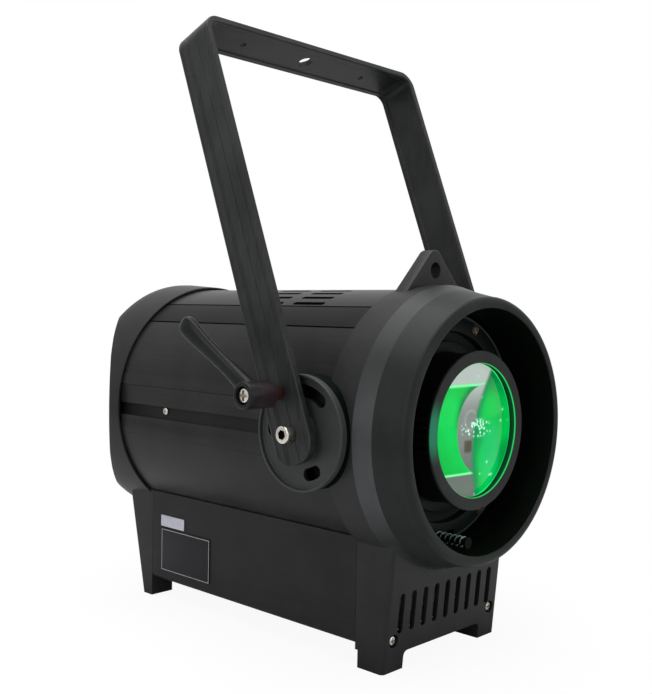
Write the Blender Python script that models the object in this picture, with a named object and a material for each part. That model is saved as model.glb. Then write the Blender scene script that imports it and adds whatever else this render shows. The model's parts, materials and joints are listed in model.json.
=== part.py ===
# LED spotlight: round extruded body on a box base, hooded front casting, motor-driven lens,
# and a yoke held by two pivot bolts and two clamp levers. Metres, +Z up, the lens faces -Y,
# and the origin lies on the floor under the middle of the part.
import bpy
import bmesh
from math import asin, atan2, cos, degrees, hypot, pi, radians, sin, sqrt
from mathutils import Matrix, Vector

# Clearances
GAP = 0.0003             # between pieces that touch
RUN = 0.0004             # radial play of what turns or slides in a bore

# Whole part. Depths are measured backwards from the face of the front lip.
LENGTH = 0.366
BODY_RADIUS = 0.105
UNDER_BODY = 0.070       # from the floor to the underside of the round body
AXIS_Z = UNDER_BODY + BODY_RADIUS
FRONT = -LENGTH / 2

# Front casting. Round sizes follow the body's radius by named steps.
LIP_INSIDE_BODY = 0.005
LIP_RADIUS = BODY_RADIUS - LIP_INSIDE_BODY
LIP_WIDTH = 0.0085
LIP_BORE = LIP_RADIUS - LIP_WIDTH
LIP_ROUND = 0.0045
LIP_BACK = 0.012         # depth of the lip's back face inside the casting
RING_PROUD = 0.0035
RING_RADIUS = BODY_RADIUS + RING_PROUD
SHOULDER_DEPTH = 0.039   # where the ring reaches its full radius
NECK_CREASE = (BODY_RADIUS, 0.0215)
FRONT_JOINT = 0.0665     # back face of the front casting
CAST_WALL = 0.0035
SPIGOT_LENGTH = 0.006

# Rear end. Depths there follow the whole length.
RIM_LENGTH = 0.0474      # the rear casting's rim, from its front edge to the back
RIM_DEPTH = LENGTH - RIM_LENGTH
PANEL_SUNK = 0.008
PANEL_DEPTH = LENGTH - PANEL_SUNK
BODY_IN_RIM = 0.0051
BODY_END = RIM_DEPTH + BODY_IN_RIM
BASE_BEFORE_RIM = 0.0039
BASE_END = RIM_DEPTH - BASE_BEFORE_RIM

# Body extrusion
BODY_WALL = 0.005
LAND_SUNK = 0.0022       # the flat side land, in from the round
LAND_X = BODY_RADIUS - LAND_SUNK
LAND_TOP = 0.0198
LAND_BOTTOM = -0.0225
CHANNEL_TOP = 0.0034
CHANNEL_BOTTOM = -0.0070
CHANNEL_DEPTH = 0.0015
GROOVE_ANGLE = 45.6
STEP_ANGLE = 59.6
GROOVE_WIDTH = 0.0016
GROOVE_DEPTH = 0.0012
VENT_PITCH = 6.19        # degrees around the body between vent rows
VENT_ROWS = 10
VENT_WIDTH = 0.0048
VENT_LENGTH = 0.035
VENT_COLUMNS = 2
VENT_START = 0.1245
VENT_STEP = 0.047
CABLE_HOLE = (0.060, 0.100)
CABLE_HOLE_START = 0.100

# Base extrusion and skirts
BASE_HALF = 0.071
BASE_BOTTOM = 0.0165
BASE_WALL = 0.0025
BASE_BELOW = 0.060       # from the lens axis down to the top of the walls before the body is cut out
SKIRT_FLOOR = 0.013      # underside of a skirt between its feet
FOOT_WIDTH = 0.023
FRONT_FOOT_TOE = 0.040   # depth of the front face at the floor
FRONT_FOOT_HEEL = 0.064
FRONT_LEAN = 0.09        # run over rise of the front face
REAR_SKIRT = BASE_END + GAP
REAR_FOOT_LENGTH = 0.014
REAR_LEAN = 0.234
SLOT_COUNT = 9
SLOT_PITCH = 0.0138
SLOT_WIDTH = 0.006
SLOT_BOTTOM = 0.028
SLOT_TOP = 0.058
SCREW_X = 0.061
SCREW_Z = 0.0235
LONG_SCREW_RADIUS = 0.002
LONG_HEAD_RADIUS = 0.0038
LONG_HEAD_HEIGHT = 0.0030
LONG_SCREW_GRIP = 0.012  # how far it reaches into the base extrusion
COUNTERBORE_RADIUS = 0.0050
BOSS_HALF = 0.0075

# Safety lug
LUG_FRONT = 0.0537
LUG_THICK = 0.0118
LUG_HALF_BASE = 0.043
LUG_HEIGHT = 0.0271
LUG_TOP = AXIS_Z + RING_RADIUS + LUG_HEIGHT
LUG_HOLE_BELOW = 0.0158
LUG_HOLE_Z = LUG_TOP - LUG_HOLE_BELOW
LUG_HOLE_RADIUS = 0.00625
LUG_TIP_RADIUS = 0.0085

# Rear casting and panel
RIM_PROUD = 0.0027
RIM_RADIUS = BODY_RADIUS + RIM_PROUD
REAR_FLARE = 0.0023
REAR_RADIUS = RIM_RADIUS + REAR_FLARE
COLLAR_PLAY = 0.0011
COLLAR_BORE = BODY_RADIUS + COLLAR_PLAY
COLLAR_STEP = 0.003      # steps of the casting's inner wall behind the body
REAR_ROUND = 0.010
REAR_SKIRT_BELOW = 0.070  # from the lens axis down to where the skirt is inside the rim
PANEL_INSIDE = 0.0065
PANEL_RADIUS = BODY_RADIUS - PANEL_INSIDE
PANEL_LIP = 0.005        # ledge that the panel lies on
PANEL_THICK = 0.002
PANEL_LEDGE = 0.0065
PANEL_SEAT = PANEL_RADIUS - PANEL_LEDGE
# Slanting facet on each side of the rear casting, seen from above: how far in from the rim's
# radius, and how far ahead of the back.
REAR_FACET = ((-0.006, 0.0414), (0.0077, 0.0245), (0.0157, 0.0165), (0.0237, 0.0095), (0.0320, 0.0027),
              (0.0368, -0.0012))
FACET_WALL = 0.0048
PANEL_BESIDE = 0.0395    # flat sides of the panel, in from the rim's radius
PANEL_FLAT = RIM_RADIUS - PANEL_BESIDE
FLAT_LEDGE = 0.0035

# Lens system. Depths are those of the lens fully forward.
HOOD_END = 0.0415        # back end of the hood's inner wall
HOOD_TAPER = 0.003
HOOD_BORE = LIP_BORE - HOOD_TAPER
CARRIAGE_FACE = 0.038
CARRIAGE_THICK = 0.004
CARRIAGE_PLAY = 0.0012
CARRIAGE_RADIUS = HOOD_BORE - CARRIAGE_PLAY
CARRIAGE_RIM = 0.0139
RECESS_OUTER = CARRIAGE_RADIUS - CARRIAGE_RIM
RECESS_WIDTH = 0.0078
RECESS_INNER = RECESS_OUTER - RECESS_WIDTH
RECESS_FLOOR = 0.045
INNER_FACE = 0.041
CARRIAGE_BACK = 0.048
ROD_IN = 0.0058          # rod axes inside the carriage's edge
ROD_CIRCLE = CARRIAGE_RADIUS - ROD_IN
ROD_ANGLES = (66, 184, 302.5)
ROD_RADIUS = 0.003
ROD_NOSE = 0.0015
BUSH_RADIUS = 0.0055
BUSH_LENGTH = 0.012
NOTCH_X = (0.001, 0.010)
NOTCH_IN = 0.0073        # how far the notch comes in from the carriage's edge
NOTCH_TOP = AXIS_Z - CARRIAGE_RADIUS + NOTCH_IN
BARREL_FACE = 0.0105
BARREL_INSIDE = 0.0086   # from the recess to the barrel
BARREL_RADIUS = RECESS_INNER - BARREL_INSIDE
BARREL_FLANGE = BARREL_RADIUS + 0.0028
BARREL_FLANGE_THICK = 0.004
BARREL_WALL = 0.0035
BARREL_FOOT = BARREL_RADIUS + 0.0070
APERTURE_LIP = 0.0068
APERTURE = BARREL_RADIUS - APERTURE_LIP
APERTURE_DEPTH = 0.0045
GRIP_RIBS = 5
GRIP_PITCH = 5.6         # degrees
LENS_PLAY = 0.0005
LENS_RADIUS = BARREL_RADIUS - BARREL_WALL - LENS_PLAY
LENS_EDGE = 0.004
LENS_RISE = 0.010
RETAINER_WIDTH = 0.004
RETAINER_BORE = LENS_RADIUS - RETAINER_WIDTH
RETAINER_THICK = 0.003
SCREW_IN = 0.0043
SCREW_CIRCLE = CARRIAGE_RADIUS - SCREW_IN  # the lead screw is nearly straight below the lens
SCREW_ANGLE = 259.7
LEAD_RADIUS = 0.003
LEAD_TIP = 0.007
LEAD_NECK = 0.0025
LEAD_COLLAR = 0.0044
LEAD_COLLAR_LENGTH = 0.002
NUT_RADIUS = 0.0055
NUT_LENGTH = 0.012
NUT_FLANGE = 0.0070
SPRING_RADIUS = 0.0039
SPRING_WIRE = 0.0006
SPRING_TURNS = 6
SPRING_POINTS = 9        # per turn
MOTOR_HALF = 0.0135
MOTOR_LENGTH = 0.034

# Lamp and cooling
PLATE_DEPTH = 0.168
PLATE_THICK = 0.006
PLATE_BORE = 0.045
BOARD_RADIUS = 0.035
BOARD_THICK = 0.002
EMITTER_RADIUS = 0.012
EMITTER_THICK = 0.0012
REFLECTOR_MOUTH = 0.040
REFLECTOR_THROAT = 0.014
REFLECTOR_LENGTH = 0.034
REFLECTOR_WALL = 0.0015
REFLECTOR_FLANGE = 0.052
SINK_WIDTH = 0.116
SINK_HEIGHT = 0.106
SINK_BASE = 0.008
FIN_COUNT = 13
FIN_THICK = 0.0018
FIN_LENGTH = 0.040
FAN_GAP = 0.003
FAN_SIZE = 0.120
FAN_THICK = 0.025
FAN_BORE = 0.057
FAN_HUB = 0.019
FAN_BLADES = 7
FAN_CORNER = 0.012
FAN_STRUT = 0.003
FAN_SHAFT = 0.0025
FAN_HOLE = 0.0022
FAN_HOLE_INSET = 0.0075
BLADE_THICK = 0.0016
BLADE_WIDTH = 0.024
BLADE_PITCH = 50
BRACKET_THICK = 0.011
SIDE_SCREW_IN = 0.0064
FAN_START = PLATE_DEPTH + PLATE_THICK + GAP + SINK_BASE + FIN_LENGTH + FAN_GAP
BRACKET_START = FAN_START + FAN_THICK + GAP
SIDE_SCREW_DEPTH = BRACKET_START + SIDE_SCREW_IN
SIDE_SCREW_HEAD = 0.0030
SIDE_SCREW_SHANK = 0.0015

# Yoke, pivot and side discs
PIVOT_DEPTH = 0.0829
YOKE_LEAN = 21.14        # degrees the arms lean back in the photograph
YOKE_REACH = 0.329       # pivot to the crossbar's outer face
YOKE_WIDTH = 0.037
YOKE_THICK = 0.0055
DISC_PROUD = 0.0127
DISC_FACE = BODY_RADIUS + DISC_PROUD
YOKE_BEYOND_DISC = 0.0087
YOKE_OUTER = DISC_FACE + YOKE_BEYOND_DISC  # half the width across the arms
YOKE_END = 0.022         # pivot to the arm's lower end
YOKE_BEND = 0.014
YOKE_CORNER = 0.0155
CROSS_HOLE_RADIUS = 0.0065
SIDE_HOLE_RADIUS = 0.0026
SIDE_HOLE_X = 0.072
BOLT_RADIUS = 0.004
BOLT_HEAD_RADIUS = 0.0063
BOLT_HEAD_HEIGHT = 0.0075
SOCKET_RADIUS = 0.0034
SOCKET_DEPTH = 0.004
DISC_RADIUS = 0.042
DISC_IN = 0.012          # how far the disc's back wraps round the body
DISC_BACK = BODY_RADIUS - DISC_IN
CUP_RADIUS = 0.0372
CUP_DEPTH = 0.004
CUP_FLOOR = 0.0027
HUB_RADIUS = 0.014
TRACK_INNER = 0.0215
TRACK_OUTER = 0.0385
TILT_FORWARD = 58
TILT_BACK = 69
LOW_SLOT = (215, 290)
BLOCK_HALF = (0.020, 0.016)
BLOCK_SHORT = 0.011      # less in front of the bolt, behind the casting's spigot
BLOCK_THICK = 0.0075
BLOCK_FACE = BODY_RADIUS - BODY_WALL - BLOCK_THICK

# Clamp lever
STUD_UP = 0.030          # pivot to stud along the arm
STUD_RADIUS = 0.004
COLLAR_RADIUS = 0.0065
COLLAR_LENGTH = 0.0063
NECK_RADIUS = 0.0042
STUD_REACH = 0.0301      # stud beyond the yoke's outer face
STUD_END = YOKE_OUTER + STUD_REACH
HUB_RIM = 0.0055
HUB_END = STUD_END + HUB_RIM
LEVER_HUB_RADIUS = 0.0098
LEVER_HUB_EDGE = 0.0012
LEVER_WEB = 0.012        # solid part of the hub below the spring's pocket
POCKET_RADIUS = 0.0066
CAP_HEAD_RADIUS = 0.0059
CAP_HEAD_HEIGHT = 0.0028
CAP_SHANK_RADIUS = 0.0025
CAP_SHANK_LENGTH = 0.010
LEVER_LENGTH = 0.078
LEVER_ANGLE = 40         # degrees above the backward direction
LEVER_CRANK = 0.004      # tip beyond the hub's face
LEVER_TIP_X = HUB_END + LEVER_CRANK
LEVER_SUNK = 0.010
LEVER_ROOT_X = HUB_END - LEVER_SUNK
NUT_BLOCK = (0.0065, 0.0058, 0.0026)

# Controls and sockets on the rear panel
DISPLAY_SIZE = (0.046, 0.024)
DISPLAY_Z = 0.006        # centre above the lens axis
DISPLAY_X = -0.024
WINDOW_THICK = 0.0012
BUTTON_X = 0.022
BUTTON_STEP = 0.014
BUTTON_RADIUS = 0.0042
BUTTON_RISE = 0.0022
BUTTON_TRAVEL = 0.0015
BUTTON_EDGE = 0.0008
BUTTON_FLANGE = 0.0012
BUTTON_STEM = 0.0015
BOARD_SHEET = 0.0016     # display board behind the panel
BOARD_STANDOFF = 0.010
BOARD_MARGIN = 0.004
BOARD_REACH = 0.0105     # board beyond the last button's centre
BOARD_POST = 0.0022
SCREEN_INSET = 0.003
SWITCH_HALF = 0.003
SWITCH_HEIGHT = 0.003
BUTTON_NAMES = ("button_menu", "button_up", "button_down", "button_enter")
SOCKET_FLANGE = (0.013, 0.0155)
SOCKET_FLANGE_THICK = 0.0025
SOCKET_BARREL = 0.0115
SOCKET_BORE = 0.0090
SOCKET_LENGTH = 0.026
SOCKET_RECESS = 0.012
SOCKET_PIN = 0.0010
SOCKET_PINS = 5
SOCKET_PIN_CIRCLE = 0.0052
SOCKET_PIN_LENGTH = 0.006
SOCKET_ROW_Z = -0.043
SOCKET_BESIDE = 0.0157   # axis of the outer sockets, in from the panel's flat side
SOCKET_X = (PANEL_FLAT - SOCKET_BESIDE) / 3
GRILLE_SLOTS = 7
GRILLE_PITCH = 0.0085
GRILLE_WIDTH = 0.0042
GRILLE_LOW = 0.027
GRILLE_MARGIN = 0.006
GRILLE_REACH = PANEL_SEAT - GRILLE_MARGIN

# Base contents and plates
SUPPLY_HALF = 0.050
SUPPLY_START = 0.085
SUPPLY_HEIGHT = 0.042
DRIVER_HALF = 0.050
DRIVER_LENGTH = 0.058
DRIVER_BEHIND = 0.0117   # from the board to the end of the base
DRIVER_START = BASE_END - DRIVER_BEHIND - DRIVER_LENGTH
SUPPLY_APART = 0.010
SUPPLY_LENGTH = DRIVER_START - SUPPLY_APART - SUPPLY_START
DRIVER_STANDOFF = 0.006
DRIVER_THICK = 0.0016
POST_INSET = 0.005
POST_RADIUS = 0.003
# Parts on the driver board: x from and to, depth on the board from and to, height.
DRIVER_PARTS = {"chip": (-0.030, -0.010, 0.012, 0.032, 0.0035), "coil": (0.008, 0.026, 0.010, 0.028, 0.014),
                "plug": (-0.044, 0.044, 0.040, 0.052, 0.010)}
CAN_PLACE = (0.037, 0.020)
CAN_RADIUS = 0.006
CAN_HEIGHT = 0.020
PLATE_THIN = 0.0005
RATING_BEHIND = 0.0137   # from the plate to the end of the base
RATING_LENGTH = 0.0675
RATING_LOW = 0.0262
RATING_HEIGHT = 0.0384
STICKER_BEHIND = 0.0132
STICKER_LENGTH = 0.0327
STICKER_LOW = 0.0663
STICKER_HEIGHT = 0.0100

BODY_BORE = BODY_RADIUS - BODY_WALL
ARM_INNER = YOKE_OUTER - YOKE_THICK
PIVOT = Vector((0, FRONT + PIVOT_DEPTH, AXIS_Z))
ARM = Vector((0, sin(radians(YOKE_LEAN)), cos(radians(YOKE_LEAN))))
STUD = PIVOT + STUD_UP * ARM


def clear_scene():
    for item in list(bpy.data.objects):
        bpy.data.objects.remove(item, do_unlink=True)


def material(name, colour, roughness, metallic=0.0, alpha=1.0):
    made = bpy.data.materials.new(name)
    made.use_nodes = True
    shader = made.node_tree.nodes["Principled BSDF"]
    shader.inputs["Base Color"].default_value = (*colour, 1.0)
    shader.inputs["Roughness"].default_value = roughness
    shader.inputs["Metallic"].default_value = metallic
    shader.inputs["Alpha"].default_value = alpha
    return made


def finish(name, bm, centre=(0, 0, 0), smooth=True):
    bmesh.ops.recalc_face_normals(bm, faces=bm.faces)
    mesh = bpy.data.meshes.new(name)
    bm.to_mesh(mesh)
    bm.free()
    made = bpy.data.objects.new(name, mesh)
    made.location = centre
    bpy.context.collection.objects.link(made)
    if smooth:
        mesh.shade_smooth()
        mesh.set_sharp_from_angle(angle=radians(30))
    return made


def paint(item, finish_material):
    item.data.materials.clear()
    item.data.materials.append(finish_material)
    return item


def box(name, low, high):
    low, high = Vector(low), Vector(high)
    bm = bmesh.new()
    bmesh.ops.create_cube(bm, size=1)
    size = high - low
    bmesh.ops.scale(bm, vec=size, verts=bm.verts)
    return finish(name, bm, (low + high) / 2, smooth=False)


def turned(name, profile, axis, centre, steps):
    # The profile is a list of (radius, distance along the axis from the centre).
    bm = bmesh.new()
    unit = {"X": Vector((1, 0, 0)), "Y": Vector((0, 1, 0)), "Z": Vector((0, 0, 1))}[axis]
    side = Vector((0, 0, 1)) if axis != "Z" else Vector((1, 0, 0))
    line = [bm.verts.new(side * r + unit * a) for r, a in profile]
    pairs = list(zip(line, line[1:]))
    if profile[0][0] > 0 or profile[-1][0] > 0:
        pairs.append((line[-1], line[0]))
    edges = [bm.edges.new(pair) for pair in pairs]
    bmesh.ops.spin(bm, geom=line + edges, cent=(0, 0, 0), axis=unit, angle=2 * pi, steps=steps,
                   use_merge=True)
    bmesh.ops.remove_doubles(bm, verts=bm.verts, dist=1e-6)
    bmesh.ops.dissolve_degenerate(bm, edges=bm.edges, dist=1e-7)
    return finish(name, bm, centre)


def tube(outer, inner, start, end):
    return [(outer, start), (outer, end), (inner, end), (inner, start)]


def rod(radius, start, end):
    return [(0, start), (radius, start), (radius, end), (0, end)]


def prism(name, outline, axis, low, high, centre=(0, 0, 0)):
    # The outline lies in the plane square to the axis: (y, z), (x, z) or (x, y).
    place = {"X": lambda p, a: (a, p[0], p[1]), "Y": lambda p, a: (p[0], a, p[1]),
             "Z": lambda p, a: (p[0], p[1], a)}[axis]
    bm = bmesh.new()
    face = bm.faces.new([bm.verts.new(place(p, low)) for p in outline])
    shift = Vector(place((0, 0), high - low))
    grown = bmesh.ops.extrude_face_region(bm, geom=[face])
    moved = [g for g in grown["geom"] if isinstance(g, bmesh.types.BMVert)]
    bmesh.ops.translate(bm, vec=shift, verts=moved)
    return finish(name, bm, centre)


def arc(centre, radius, start, end, steps):
    return [(centre[0] + radius * cos(radians(start + (end - start) * i / steps)),
             centre[1] + radius * sin(radians(start + (end - start) * i / steps)))
            for i in range(steps + 1)]


def combine(target, tools, operation):
    for tool in tools:
        step = target.modifiers.new("step", "BOOLEAN")
        step.operation = operation
        step.solver = "EXACT"
        step.object = tool
    graph = bpy.context.evaluated_depsgraph_get()
    shape = bpy.data.meshes.new_from_object(target.evaluated_get(graph))
    target.modifiers.clear()
    bm = bmesh.new()
    bm.from_mesh(shape)
    bmesh.ops.dissolve_limit(bm, angle_limit=radians(0.05), verts=bm.verts, edges=bm.edges)
    bm.to_mesh(shape)
    bm.free()
    target.data = shape
    for tool in tools:
        bpy.data.objects.remove(tool, do_unlink=True)
    return target


def cut(target, *tools):
    return combine(target, tools, "DIFFERENCE")


def fuse(target, *tools):
    return combine(target, tools, "UNION")


def mirrored(name, item):
    # A copy on the other side of the lens axis, with its faces turned outwards again.
    bm = bmesh.new()
    bm.from_mesh(item.data)
    bmesh.ops.transform(bm, matrix=Matrix.Scale(-1, 4, (1, 0, 0)) @ item.matrix_basis, verts=bm.verts)
    bmesh.ops.reverse_faces(bm, faces=bm.faces)
    made = finish(name, bm)
    return paint(made, item.data.materials[0])


def both_sides(name, item, colour):
    paint(item, colour)
    other = mirrored(name + "_right", item)
    item.name = name + "_left"
    return item, other


def depth(value):
    return FRONT + value


def on_axis(radius, angle):
    return Vector((radius * cos(radians(angle)), 0, AXIS_Z + radius * sin(radians(angle))))


def front_bezel(colour):
    back = FRONT_JOINT
    inner = RING_RADIUS - CAST_WALL
    spigot = BODY_BORE - GAP
    profile = [(RING_RADIUS, back), (RING_RADIUS, SHOULDER_DEPTH), NECK_CREASE, (LIP_RADIUS, LIP_ROUND)]
    profile += [(LIP_RADIUS - LIP_ROUND * (1 - sin(a)), LIP_ROUND * (1 - cos(a)))
                for a in (radians(60), radians(30), 0)]
    profile += [(LIP_BORE + 0.001, 0), (LIP_BORE, 0.001), (HOOD_BORE, HOOD_END),
                (HOOD_BORE + CAST_WALL, HOOD_END), (LIP_BORE + CAST_WALL, LIP_BACK),
                (LIP_RADIUS - 0.0005, LIP_BACK),
                (inner, SHOULDER_DEPTH), (inner, back - 0.008), (spigot - CAST_WALL, back - 0.004),
                (spigot - CAST_WALL, back + SPIGOT_LENGTH), (spigot, back + SPIGOT_LENGTH), (spigot, back)]
    ring = turned("front_bezel", profile, "Y", (0, FRONT, AXIS_Z), 32)
    skirt_half = BASE_HALF
    lean = FRONT_LEAN
    top = AXIS_Z
    toe = FRONT_FOOT_TOE
    outline = [(depth(toe), 0), (depth(back), 0), (depth(back), top), (depth(toe - lean * top), top)]
    skirt = prism("skirt", outline, "X", -skirt_half, skirt_half)
    hollow_low = SKIRT_FLOOR + CAST_WALL
    wall = CAST_WALL
    hollow = prism("hollow", [(depth(toe - lean * hollow_low + wall), hollow_low),
                              (depth(back + 0.01), hollow_low), (depth(back + 0.01), top),
                              (depth(toe - lean * top + wall), top)], "X",
                   -skirt_half + wall, skirt_half - wall)
    cut(hollow, turned("keep", rod(RING_RADIUS - 0.001, 0, 2 * back), "Y", (0, FRONT, AXIS_Z), 32))
    gap_box = box("between_feet", (-skirt_half + FOOT_WIDTH, depth(0), -0.01),
                  (skirt_half - FOOT_WIDTH, depth(back + 0.01), SKIRT_FLOOR))
    heel_box = box("behind_feet", (-skirt_half - CAST_WALL, depth(FRONT_FOOT_HEEL), -0.01),
                   (skirt_half + CAST_WALL, depth(back + 0.01), SKIRT_FLOOR))
    cut(skirt, turned("hood_space", rod(RING_RADIUS - CAST_WALL + 0.0005, -0.01, 2 * back), "Y",
                      (0, FRONT, AXIS_Z), 32), hollow, gap_box, heel_box)
    boss = [box("boss", (x - BOSS_HALF, depth(toe - lean * SCREW_Z + 0.001), hollow_low - 0.001),
                (x + BOSS_HALF, depth(back - 0.0007), SCREW_Z + BOSS_HALF)) for x in (-SCREW_X, SCREW_X)]
    base_z = AXIS_Z + sqrt(RING_RADIUS ** 2 - LUG_HALF_BASE ** 2) - 0.004
    side = atan2(LUG_TOP - LUG_TIP_RADIUS - base_z, LUG_HALF_BASE)
    turn = degrees(pi / 2 - side - asin(LUG_TIP_RADIUS / hypot(LUG_TOP - LUG_TIP_RADIUS - base_z,
                                                                LUG_HALF_BASE)))
    lug_outline = [(LUG_HALF_BASE, base_z)]
    lug_outline += arc((0, LUG_TOP - LUG_TIP_RADIUS), LUG_TIP_RADIUS, turn, 180 - turn, 8)
    lug_outline += [(-LUG_HALF_BASE, base_z)]
    lug = prism("lug", lug_outline, "Y", depth(LUG_FRONT), depth(LUG_FRONT + LUG_THICK))
    cut(lug, turned("hood_keep", rod(RING_RADIUS - 0.002, -0.01, 2 * back), "Y", (0, FRONT, AXIS_Z), 32))
    fuse(ring, skirt, *boss, lug)
    tools = skirt_slots(depth(0), depth(toe + 0.012))
    tools += [turned("lug_hole", rod(LUG_HOLE_RADIUS, -0.02, 0.04), "Y",
                     (0, depth(LUG_FRONT), LUG_HOLE_Z), 16)]
    seat_y = toe - lean * SCREW_Z + LONG_HEAD_HEIGHT + 0.001
    for x in (-SCREW_X, SCREW_X):
        tools.append(turned("bore", [(0, -0.02), (COUNTERBORE_RADIUS, -0.02), (COUNTERBORE_RADIUS, 0),
                                     (LONG_SCREW_RADIUS + GAP, 0), (LONG_SCREW_RADIUS + GAP, 0.05),
                                     (0, 0.05)], "Y", (x, depth(seat_y), SCREW_Z), 12))
    cut(ring, *tools)
    return paint(ring, colour), seat_y


def skirt_slots(low, high):
    tools = []
    for i in range(SLOT_COUNT):
        x = (i - (SLOT_COUNT - 1) / 2) * SLOT_PITCH
        r = SLOT_WIDTH / 2
        outline = arc((x, SLOT_TOP - r), r, 0, 180, 3) + arc((x, SLOT_BOTTOM + r), r, 180, 360, 3)
        tools.append(prism("slot", outline, "Y", low, high))
    return tools


def facets(inward):
    # Tools that take away what lies outside the two slanting side facets.
    line = [(RIM_RADIUS - aside - inward, depth(LENGTH - ahead)) for aside, ahead in REAR_FACET]
    outline = line + [(REAR_RADIUS + REAR_ROUND, line[-1][1]), (REAR_RADIUS + REAR_ROUND, line[0][1])]
    low, high = AXIS_Z - REAR_RADIUS - 0.01, AXIS_Z + REAR_RADIUS + 0.01
    return [prism("facet", [(side * x, y) for x, y in outline], "Z", low, high) for side in (-1, 1)]


def panel_shape(name, radius, half, start, end):
    # A disc with flat sides.
    disc = turned(name, rod(radius, start, end), "Y", (0, FRONT, AXIS_Z), 32)
    sides = [box("side", (min(side * half, 2 * side * radius), depth(start) - 0.01, AXIS_Z - 2 * radius),
                 (max(side * half, 2 * side * radius), depth(end) + 0.01, AXIS_Z + 2 * radius))
             for side in (-1, 1)]
    return cut(disc, *sides)


def rear_cover(colour):
    stop = BODY_END + GAP
    seat = PANEL_DEPTH - GAP
    back = LENGTH
    inner = RIM_RADIUS - CAST_WALL + 0.001
    profile = [(0, back)]
    profile += [(REAR_RADIUS - inward * REAR_ROUND, back - forward * REAR_ROUND)
                for inward, forward in ((0.8, 0), (0.35, 0.15), (0.08, 0.5), (0, 1))]
    profile += [(RIM_RADIUS, RIM_DEPTH), (0, RIM_DEPTH)]
    ring = turned("rear_cover", profile, "Y", (0, FRONT, AXIS_Z), 32)
    cut(ring, *facets(0))
    cavity = turned("cavity", [(0, RIM_DEPTH - 0.001), (COLLAR_BORE, RIM_DEPTH - 0.001), (COLLAR_BORE, stop),
                               (PANEL_RADIUS, stop), (PANEL_RADIUS, stop + COLLAR_STEP),
                               (inner, stop + 2 * COLLAR_STEP), (inner, seat - PANEL_LIP),
                               (0, seat - PANEL_LIP)], "Y", (0, FRONT, AXIS_Z), 32)
    cut(cavity, *facets(FACET_WALL))
    ledge = PANEL_FLAT - FLAT_LEDGE
    opening = panel_shape("opening", PANEL_SEAT, ledge, seat - PANEL_LIP - 0.001, seat + 0.001)
    place = panel_shape("place", PANEL_RADIUS + GAP, PANEL_FLAT + GAP, seat, back + 0.01)
    cut(ring, cavity, opening, place)
    lean, heel, wall = REAR_LEAN, REAR_SKIRT + REAR_FOOT_LENGTH, CAST_WALL
    top = AXIS_Z - REAR_SKIRT_BELOW
    ahead, behind = REAR_SKIRT - BOSS_HALF, back + BOSS_HALF
    outline = [(depth(REAR_SKIRT), 0), (depth(heel), 0), (depth(heel + lean * top), top),
               (depth(REAR_SKIRT), top)]
    skirt = prism("skirt", outline, "X", -BASE_HALF, BASE_HALF)
    low = SKIRT_FLOOR + wall
    hollow = prism("hollow", [(depth(ahead), low), (depth(heel + lean * low - wall), low),
                              (depth(heel + lean * top - wall), top), (depth(ahead), top)],
                   "X", -BASE_HALF + wall, BASE_HALF - wall)
    cut(hollow, turned("keep", rod(RIM_RADIUS + 0.0012, ahead, behind), "Y", (0, FRONT, AXIS_Z), 32))
    between = box("between_feet", (-BASE_HALF + FOOT_WIDTH, depth(ahead), -SKIRT_FLOOR),
                  (BASE_HALF - FOOT_WIDTH, depth(behind), SKIRT_FLOOR))
    rim, room = RIM_RADIUS - 0.001, BODY_RADIUS + 0.0008
    space = turned("space", [(0, ahead), (room, ahead), (room, RIM_DEPTH + 0.0005), (rim, RIM_DEPTH + 0.0005),
                             (rim, behind), (0, behind)], "Y", (0, FRONT, AXIS_Z), 32)
    cut(skirt, space, hollow, between)
    boss = [box("boss", (x - BOSS_HALF, depth(REAR_SKIRT + 0.0007), low - 0.001),
                (x + BOSS_HALF, depth(heel + lean * SCREW_Z - 0.001), SCREW_Z + BOSS_HALF))
            for x in (-SCREW_X, SCREW_X)]
    fuse(ring, skirt, *boss)
    seat_y = heel + lean * SCREW_Z - 2 * LONG_HEAD_HEIGHT
    tools = []
    for x in (-SCREW_X, SCREW_X):
        tools.append(turned("bore", [(0, 0.03), (COUNTERBORE_RADIUS, 0.03), (COUNTERBORE_RADIUS, 0),
                                     (LONG_SCREW_RADIUS + GAP, 0), (LONG_SCREW_RADIUS + GAP, -0.05),
                                     (0, -0.05)], "Y", (x, depth(seat_y), SCREW_Z), 12))
    cut(ring, *tools)
    return paint(ring, colour), seat_y


def body_outline():
    # One loop of (x, z) about the lens axis, with the side lands, channels and grooves.
    def at(angle, radius=BODY_RADIUS):
        return (radius * cos(radians(angle)), radius * sin(radians(angle)))
    half = degrees(GROOVE_WIDTH / 2 / BODY_RADIUS)
    land_low = degrees(asin(LAND_BOTTOM / BODY_RADIUS))
    land_high = degrees(asin(LAND_TOP / BODY_RADIUS))
    right = [at(land_low), (LAND_X, LAND_BOTTOM), (LAND_X, CHANNEL_BOTTOM),
             (LAND_X - CHANNEL_DEPTH, CHANNEL_BOTTOM), (LAND_X - CHANNEL_DEPTH, CHANNEL_TOP),
             (LAND_X, CHANNEL_TOP), (LAND_X, LAND_TOP), at(land_high)]
    right = [p for p in right if hypot(*p) <= BODY_RADIUS + 1e-9]
    stops = [land_high]
    for middle in (GROOVE_ANGLE, STEP_ANGLE):
        stops += [middle - half, middle + half]
    points = list(right)
    for start, end in ((stops[0], stops[1]), (stops[2], stops[3]), (stops[4], 90)):
        steps = max(1, round((end - start) / 6))
        points += [at(start + (end - start) * i / steps) for i in range(1 if points[-1] == at(start) else 0,
                                                                         steps + 1)]
        if end < 90:
            points += [at(end, BODY_RADIUS - GROOVE_DEPTH), at(end + 2 * half, BODY_RADIUS - GROOVE_DEPTH)]
    upper = points
    lower = [at(-90 + (land_low + 90) * i / 13) for i in range(13)]
    side = lower + upper
    return side + [(-x, z) for x, z in reversed(side[1:-1])]


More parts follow.
